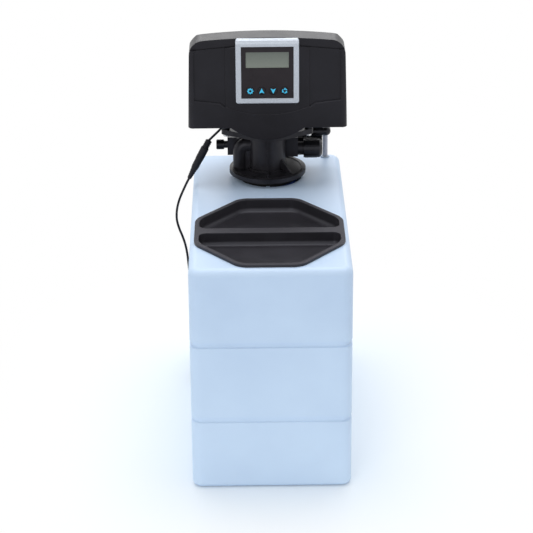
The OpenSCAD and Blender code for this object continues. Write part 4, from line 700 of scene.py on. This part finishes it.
def dress(piece, body, slot, *nodes, finish=None):
    """Gives a finished piece its finish and its body, and hides the solids it stands for."""
    hands_off()
    piece.data.materials.clear()
    piece.data.materials.append(finish or FINISH[slot])
    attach(piece, body)
    if nodes:
        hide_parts(*nodes)
    print(piece.name, len(getattr(piece.data, "polygons", [])), "faces, rides on", body)
    return piece


# %% Drawn lines and the lathe
SAME_POINT_M = 0.00002


def drawn_line(name, points):
    """A line drawn by extruding one point from each place to the next; it stays in edit mode."""
    hands_off()
    bpy.ops.mesh.primitive_plane_add(size=MM)
    piece = bpy.context.object
    piece.name = name
    bpy.ops.object.mode_set(mode="EDIT")
    bpy.ops.mesh.select_mode(type="VERT")
    bpy.ops.mesh.select_all(action="SELECT")
    bpy.ops.mesh.merge(type="CENTER")
    at = Vector(points[0]) * MM
    bpy.ops.transform.translate(value=at)
    for point in points[1:]:
        to = Vector(point) * MM
        bpy.ops.mesh.extrude_vertices_move(TRANSFORM_OT_translate={"value": to - at})
        at = to
    bpy.ops.mesh.select_all(action="SELECT")
    return piece


def turned(name, outline, origin, way, steps):
    """Spins an outline of radius and height, and stands the piece along a direction."""
    piece = drawn_line(name, [(radius, 0, height) for radius, height in outline])
    bpy.ops.mesh.spin(steps=steps, angle=math.tau, center=(0, 0, 0), axis=UP)
    bpy.ops.mesh.select_all(action="SELECT")
    bpy.ops.mesh.remove_doubles(threshold=SAME_POINT_M)
    bpy.ops.mesh.normals_make_consistent(inside=False)
    bpy.ops.object.mode_set(mode="OBJECT")
    stand = Vector(way).to_track_quat("Z", "Y").to_matrix().to_4x4()
    piece.matrix_world = Matrix.Translation(Vector(origin) * MM) @ stand
    bpy.ops.object.transform_apply(location=True, rotation=True, scale=True)
    return piece


def drill(piece, name, radius, length, origin, way, steps=64):
    """Carves a round hole."""
    outline = [(0, 0), (radius, 0), (radius, length), (0, length)]
    carve(piece, turned(name, outline, origin, way, steps))


# %% A smooth copy of a solid
SAME_CORNER_M = 0.00001
FLAT_DEGREES = 0.3


def copy_of(node, name, radius=0.0, steps=2, sharper_than=40):
    """A solid whose shape is right is copied, its triangles are merged and its sharp edges softened."""
    piece = bpy.data.objects.new(name, frame["nodes"][node].data.copy())
    bpy.context.scene.collection.objects.link(piece)
    alone(piece)
    bpy.ops.mesh.customdata_custom_splitnormals_clear()
    edit(piece)
    bpy.ops.mesh.select_all(action="SELECT")
    bpy.ops.mesh.remove_doubles(threshold=SAME_CORNER_M)
    bpy.ops.mesh.dissolve_limited(angle_limit=math.radians(FLAT_DEGREES))
    return soften(piece, radius, steps, sharper_than)


print("hand tools ready")

# %% [markdown]
# ### Cabinet
# The cabinet is a blow-moulded box with rounded corners and two shallow grooves all round. It starts as
# a cube: the upright edges are rounded first, then the top and the base, so that the corners flow into
# each other. Each groove is a few level cuts, drawn in by scaling: a crisp upper lip and a soft lower
# one, which catches the light. Solidify then gives the box its wall, because the lid comes off and
# shows the inside.

# %% Cabinet walls
CORNER_R, TOP_R, FOOT_R = 15, 11, 8
CAB_WALL = 4
GROOVES_Z = (107, 222)
GROOVE = ((4.2, 0), (3.9, 2.0), (3.4, 2.3), (-2.4, 2.3), (-3.0, 2.1), (-4.1, 0.4), (-4.5, 0.1), (-5, 0))

shell = block("cabinet_moulding", (-CAB_HALF_W, -CAB_HALF_D, 0), (CAB_HALF_W, CAB_HALF_D, CAB_H))
round_edges(shell, upright, CORNER_R, 10)
round_edges(shell, lambda mid, way: mid.z > CAB_H - 0.1, TOP_R, 8)
round_edges(shell, lambda mid, way: mid.z < 0.1, FOOT_R, 6)
cuts = [(groove + rise, depth) for groove in GROOVES_Z for rise, depth in GROOVE]
for height, _ in cuts:
    cut_level(shell, height)
for height, depth in cuts:
    pick(shell, "edges", lambda mid, way: abs(mid.z - height) < 0.1 and abs(way.z) < 0.1)
    drawn_in = (1 - depth / CAB_HALF_W, 1 - depth / CAB_HALF_D, 1)
    bpy.ops.transform.resize(value=drawn_in, center_override=(0, 0, height * MM))
thicken(shell, CAB_WALL, -1, even=True)
print("cabinet walls:", len(shell.data.polygons), "faces")

# %% [markdown]
# ### Openings in the cabinet
# The lid, the tank's neck, the brine tube and the overflow each need a hole. The lid is eight-sided, so
# the same eight-sided block, drawn in by different amounts, makes the opening, the lid's rim, its tray
# and its pockets.

# %% Openings
LID_Y, LID_HALF_W, LID_HALF_D = -96, 106, 124
END_HALF, SIDE_HALF = 43, 45
SLANT = Vector((LID_HALF_D - SIDE_HALF, LID_HALF_W - END_HALF, 0)).normalized()
SLANT_REACH = SLANT.x * LID_HALF_W + SLANT.y * SIDE_HALF
BELOW_TOP = CAB_H - 10
BACK = (0, 1, 0)


def eight_sided(name, inset, z0, z1, corner, near=-LID_HALF_D, far=LID_HALF_D):
    """A block of the lid's outline, drawn in by inset, from near to far of the lid's middle."""
    y0, y1 = max(near, inset - LID_HALF_D), min(far, LID_HALF_D - inset)
    half = LID_HALF_W - inset
    piece = block(name, (-half, LID_Y + y0, z0), (half, LID_Y + y1, z1))
    for sx in (-1, 1):
        for sy in (-1, 1):
            normal = Vector((sx * SLANT.x, sy * SLANT.y, 0))
            slice_off(piece, Vector((0, LID_Y, 0)) + normal * (SLANT_REACH - inset), normal)
    round_edges(piece, upright, corner, 8)
    return piece


carve(shell, eight_sided("lid_opening", 3.6, BELOW_TOP, CAB_H + 10, 7.4))
drill(shell, "neck_opening", 47.5, 20, (4, TANK_Y, BELOW_TOP), UP)
drill(shell, "tube_opening", 6, 20, (90, 212, BELOW_TOP), UP)
drill(shell, "overflow_opening", 8.5, 12, (-60, 222, 250), BACK)
rib = block("moulding_rib", (-3, 30.5, CAB_H - 1), (3, 86, CAB_H + 0.6))
round_edges(rib, lambda mid, way: abs(way.y) > 0.9 and mid.z > CAB_H, 0.5, 3)
carve(shell, rib, "UNION")
soften(shell, 0.7, 2, 60)
dress(shell, "housing", "cabinet_shell", "cabinet")

# %% [markdown]
# ### Salt lid
# The lid lies in the cabinet's top and lifts off by the bar between its two pockets. A rim and a deeper
# tray are joined, and the pockets are carved with blocks whose upright corners and floors are rounded,
# which leaves the soft fillets that catch the light in the photograph.

# %% Salt lid
POCKET_FLOOR, POCKET_R = 320, 7
BAR_HALF = 9

lid = eight_sided("salt_lid_moulding", 0, CAB_H, LID_TOP, 11)
carve(lid, eight_sided("lid_tray", 4.3, 317.8, 337, 6.7), "UNION")
for near, far in ((BAR_HALF, LID_HALF_D), (-LID_HALF_D, -BAR_HALF)):
    pocket = eight_sided("finger_pocket", 6.5, POCKET_FLOOR, 350, 11, near, far)
    round_edges(pocket, lambda mid, way: mid.z < POCKET_FLOOR + 0.1, POCKET_R, 8)
    carve(lid, pocket)
carve(lid, block("bar_hollow", (-97.3, LID_Y - 6.8, 310), (97.3, LID_Y + 6.8, 336.8)))
soften(lid, 1.1, 3, 50)
dress(lid, "lid", "lid_plastic", "salt_lid")

# %% [markdown]
# ### Control head
# The two covers of the head are solids with the right shape already: a stepped front with side panels,
# a brow under the top edge and a round apron. Copies of them are merged. The ledges that face up are
# rounded more than the other edges, because the photograph shows each of them as a thin bright line. A
# level cut across the side panels ends the rounding of their outer edges.

# %% Ledges on the head's front
LEDGE_R = 1.9
PANEL_CUT_Z = 500
ANY = 200


def sideways(way):
    return abs(way.x) > 0.9


def slanting(way):
    return abs(way.x) > 0.5


def rising(way):
    return abs(way.z) > 0.9


def in_the_face(way):
    return abs(way.y) < 0.1


# Radius, depth of the face, height from and to, distance from the middle from and to, and direction.
LEDGES = ((1.9, 64, (466, 500), (61.6, ANY), slanting),
          (0.3, 64, (466, 500), (0, 107.2), rising),
          (0.9, 64, (455, 468.5), (0, 61.4), in_the_face),
          (1.5, 66.5, (553, 558), (0, 104), sideways),
          (1.5, 65, (556, 559.5), (46, ANY), sideways),
          (1.2, 65, (468, 557), (61, ANY), rising),
          (0.8, 64, (410, 436), (0, ANY), in_the_face))


def on_ledge(depth, heights, reaches, runs):
    """A test for the edges that lie in one face of the head, within a range, and run one way."""
    def test(mid, way):
        inside = heights[0] < mid.z < heights[1] and reaches[0] <= abs(mid.x) < reaches[1]
        return abs(mid.y - depth) < 0.05 and inside and runs(way)
    return test


# %% Head covers and base
front = copy_of("front_cover", "head_front")
cut_level(front, PANEL_CUT_Z)
for radius, *ledge in LEDGES:
    print("head edges weighed:", pick(front, "edges", on_ledge(*ledge), bend=REAL_BEND))
    bpy.ops.transform.edge_bevelweight(value=radius / LEDGE_R)
soften(front, LEDGE_R, 4, weighed=True)
dress(front, "housing", "head_plastic", "front_cover")
dress(copy_of("rear_cover", "head_rear", 0.6, 2, 35), "housing", "head_plastic", "rear_cover")
dress(copy_of("head_base", "head_floor", 0.5, 2, 50), "housing", "head_plastic", "head_base")

# %% [markdown]
# ### Silver bezel
# The bezel frames the display. It is a rounded slab whose top edge curls back over the brow, so that
# the strip above the window looks up and shines white. The curl is made by cutting the slab level by
# level near its top and moving each level back, a little more each time. Below the brow the slab is
# thinner, and a sleeve behind it reaches into the head.

# %% Silver bezel
BEZEL_FRONT = 61.5
CURL = ((563, 0.2), (564, 0.3), (565, 0.4), (566, 0.5), (567, 0.6), (568, 0.6), (569, 0.7), (570, 0.7))

bezel = block("silver_bezel", (-46, BEZEL_FRONT, 473.6), (46, 68.4, 570.6))
round_edges(bezel, fore_and_aft, 3.5, 6)
round_edges(bezel, lambda mid, way: mid.y < BEZEL_FRONT + 0.1 and abs(way.y) < 0.5, 1.2, 3)
for height, _ in CURL:
    cut_level(bezel, height)
for height, back_by in CURL:
    pick(bezel, "edges", lambda mid, way: mid.z > height + 0.2 and mid.y < 67 and abs(way.y) < 0.9)
    bpy.ops.transform.translate(value=(0, back_by * MM, 0))
carve(bezel, block("thinner_below", (-50, 65, 470), (50, 70, 559)))
carve(bezel, block("bezel_sleeve", (-39.9, 64, 479.4), (39.9, 71, 561.2)), "UNION")
carve(bezel, block("bezel_window", (-38.1, 50, 481.2), (38.1, 80, 559.4)))
soften(bezel, 0.4, 2, 50)
dress(bezel, "housing", "bezel_silver", "bezel")

# %% [markdown]
# ### Panel, display and keys
# Inside the bezel a dark film lies round a grey green display, with four round keys below. The place
# between the display and the keys is plain. The film is a slab with a window and holes carved through
# it.

# %% Panel and display
KEYS_X = (-25.05, -8.35, 8.35, 25.05)
KEYS_Z = 492.6
BEFORE_HEAD = 50
PANE_BACK = 65.4

film = block("dark_panel", (-38, 63, 481.3), (38, PANE_BACK, 559.3))
carve(film, block("display_window", (-31.5, BEFORE_HEAD, DISPLAY_LOW), (31.5, 80, DISPLAY_HIGH)))
for x in KEYS_X:
    drill(film, "key_hole", 6.1, 30, (x, BEFORE_HEAD, KEYS_Z), BACK, 48)
soften(film, 0.3, 2, 50)
dress(film, "housing", "panel_face", "display_panel")

glass = block("display_pane", (-31.3, 64, DISPLAY_LOW + 0.2), (31.3, PANE_BACK, DISPLAY_HIGH - 0.2))
pick(glass, "faces", lambda mid, way: way.y < -0.9)
bpy.ops.mesh.inset(thickness=1.2 * MM, depth=-0.25 * MM)
soften(glass, 0.15, 2, 40)
dress(glass, "housing", "display", "lcd_module")
case = block("display_case", (-34.5, PANE_BACK, 524), (34.5, 76, 554))
round_edges(case, fore_and_aft, 1, 2)
soften(case, 0.4)
dress(case, "housing", "switch_plastic")

# %% Keys
KEY_OUTLINE = [(0, 0), (3.4, 0.03), (4.8, 0.12), (5.5, 0.4), (5.8, 0.9), (5.8, 3.7), (7, 3.7), (7, 4.9),
               (2, 4.9), (2, 7.7), (0, 7.7)]
KEY_NAMES = ("menu", "up", "down", "regen")
KEY_FRONT = 62
for name, x in zip(KEY_NAMES, KEYS_X):
    key = turned(name + "_key_cap", KEY_OUTLINE, (x, KEY_FRONT, KEYS_Z), BACK, 40)
    soften(key, 0)
    dress(key, name + "_key", "button_face", "button_" + name)

# %% [markdown]
# ### Marks on the keys
# Each key has a plain cyan mark: a cog, an arrow up, an arrow down and three arrows in a ring. They are
# thin plates on the front of the caps. Each is an outline drawn facing the front, filled, and made
# solid.

# %% Flat and raised marks
MARK_Y = KEY_FRONT - 0.03
MARK_THICK = 0.16


def polar(reach, degrees):
    return (reach * math.cos(math.radians(degrees)), reach * math.sin(math.radians(degrees)))


def flat_mark(name, x, outline):
    """Fills an outline drawn round a key's middle."""
    mark = drawn_line(name, [(x + across, MARK_Y, KEYS_Z + up) for across, up in outline])
    bpy.ops.mesh.edge_face_add()
    return mark


def raise_mark(mark, key):
    """Makes the flat mark a thin plate and dresses it."""
    thicken(mark, MARK_THICK, 0)
    return dress(mark, key + "_key", "button_face", finish=MARK)


# %% Key marks
MENU_X, UP_X, DOWN_X, REGEN_X = KEYS_X
teeth = [polar(reach, 45 * tooth + turn) for tooth in range(8)
         for reach, turn in ((3.6, -15), (4.6, -9), (4.6, 9), (3.6, 15))]
cog = raise_mark(flat_mark("menu_mark", MENU_X, teeth), "menu")
drill(cog, "cog_hole", 1.9, 4, (MENU_X, 60, KEYS_Z), BACK, 24)
for name, x, up in (("up", UP_X, 1), ("down", DOWN_X, -1)):
    arrow = [(0, 4.1 * up), (3.9, -3.8 * up), (0, -2.1 * up), (-3.9, -3.8 * up)]
    raise_mark(flat_mark(name + "_mark", x, arrow), name)
arc = [polar(3.9, turn) for turn in range(20, 81, 10)]
arc += [polar(5.0, 80), polar(3.1, 122), polar(1.3, 80)]
arc += [polar(2.3, turn) for turn in range(80, 19, -10)]
cycle = flat_mark("regen_mark", REGEN_X, arc)
for _ in range(2):
    bpy.ops.mesh.duplicate()
    bpy.ops.transform.rotate(value=math.tau / 3, orient_axis="Y",
                             center_override=(REGEN_X * MM, MARK_Y * MM, KEYS_Z * MM))
raise_mark(cycle, "regen")

# %% [markdown]
# ### Valve body and fittings
# The valve is one black moulding with a collar, a neck, ears and ports. Its solid has them all, so it
# is copied and smoothed, and so are the small fittings round it.

# %% Valve and fittings
FITTINGS = (("injector_cap", "injector_cover", 0.5), ("drain_nut", "drain_fitting", 0.25),
            ("brine_elbow", "brine_fitting", 0.0), ("brine_nut", "brine_fitting_nut", 0.0),
            ("overflow_elbow", "overflow_fitting", 0.4))
dress(copy_of("valve_body", "valve_moulding"), "housing", "valve_plastic", "valve_body")
for node, name, radius in FITTINGS:
    dress(copy_of(node, name, radius), "housing", "fitting_black", node)
ring = copy_of("tube_grommet", "tube_ring", 0.3)
dress(ring, "housing", "seal_rubber", "tube_grommet", finish=PALE_SEAL)
dress(copy_of("cable_gland", "cable_entry", 0.2), "housing", "lead_rubber", "cable_gland")

# %% [markdown]
# ### Connectors, tie and adapter
# The two halves of the connector are turned on the lathe from the outline of a moulded sleeve: ribs
# where the pigtail enters, a plain barrel, and a long taper over the lead.

# %% Connectors
SLEEVE = [(1.8, 0), (3.3, 0), (3.9, 0.4)]
for k in range(4):
    SLEEVE += [(4, 1 + 3 * k), (4.9, 1.2 + 3 * k), (5, 1.5 + 3 * k), (5, 2.2 + 3 * k),
               (4.9, 2.5 + 3 * k), (4, 2.7 + 3 * k)]
SLEEVE += [(4.2, 12.4), (5.6, 13), (6, 14), (6, 33.2), (5.7, 33.9), (3, 34), (2.8, 34), (2.8, 24),
           (0, 24)]
socket = turned("connector_socket", SLEEVE, link_top, link_way, 32)
soften(socket, 0)
dress(socket, "housing", "lead_rubber", "dc_socket")
link_l = (link_tip - link_top).length
TAPER = [(0, 25), (2.7, 25), (2.7, 33.9), (5.2, 34.1), (5.6, 34.6), (5.6, 46), (5.3, 48.2), (4.9, 50)]
for k in range(4):
    at, less = 51 + 3.6 * k, 0.36 * k
    TAPER += [(4.7 - less, at), (4.2 - less, at + 0.5), (4.2 - less, at + 1.3), (4.6 - less, at + 1.8)]
TAPER += [(2.95, link_l - 0.4), (2.6, link_l), (1.8, link_l)]
plug = turned("connector_plug", TAPER, link_top, link_way, 32)
soften(plug, 0)
dress(plug, "housing", "lead_rubber", "dc_plug")

# %% Adapter, pins and tie
RELIEF = [(0, 0), (2.5, 0), (2.55, 3), (3.2, 4), (3.2, 6), (2.8, 6.6), (3.4, 9), (3.9, 10), (3.9, 12),
          (3.4, 12.6), (4.35, 18), (4.35, 22), (0, 22)]
PIN = [(0, 0), (2, 0), (2, 17.6), (1.6, 18.7), (0.9, 19), (0, 19)]
PIN_GAP = 19
RIGHT = (1, 0, 0)

adapter = block("mains_adapter", (-26, 231, 0), (34, 273, 30))
round_edges(adapter, lambda mid, way: abs(way.x) > 0.9, 5, 5)
round_edges(adapter, lambda mid, way: abs(way.x) < 0.1, 2.2, 4)
carve(adapter, turned("lead_relief", RELIEF, (-44, 239, 7), RIGHT, 28), "UNION")
soften(adapter, 0.3, 2, 50)
dress(adapter, "housing", "adapter_case", "power_adapter")
pin = turned("first_pin", PIN, (34, 242.5, 15), RIGHT, 24)
soften(pin, 0)
other_pin = bpy.data.objects.new("second_pin", pin.data.copy())
bpy.context.scene.collection.objects.link(other_pin)
other_pin.data.transform(Matrix.Translation(Vector((0, PIN_GAP, 0)) * MM))
dress(pin, "housing", "pin_brass", "adapter_pins")
dress(other_pin, "housing", "pin_brass")
dress(copy_of("coil_tie", "cable_tie", 0.25), "housing", "switch_plastic", "coil_tie")

for cord, slot, nodes in ((pigtail, "lead_rubber", ["pigtail"]),
                          (lead, "lead_rubber", ["power_lead", "lead_coil"]),
                          (brine_tube, "tube_grey", ["brine_tube"])):
    dress(cord, "housing", slot, *nodes)
pigtail_route[0] * MM
route_length(pigtail_route)
lead_route[0] * MM
route_length(lead_route)
tube_route[0] * MM
route_length(tube_route)

# %% [markdown]
# ### Solids that stay
# The pieces inside the cabinet, the valve and the head keep their solids, and so do the screws. Most of
# them are hidden, or show only when the lid is off. Each gets the finish of its material slot.

# %% Finishes on the solids
slots = {part["node"]: part["material_slot"] for part in frame["record"]["subparts"]}
kept = 0
for node, solid in frame["nodes"].items():
    if solid.hide_render or not solid.material_slots:
        continue
    for place in solid.material_slots:
        place.material = FINISH[slots[node]]
    kept += 1
print("solids that stay:", kept)
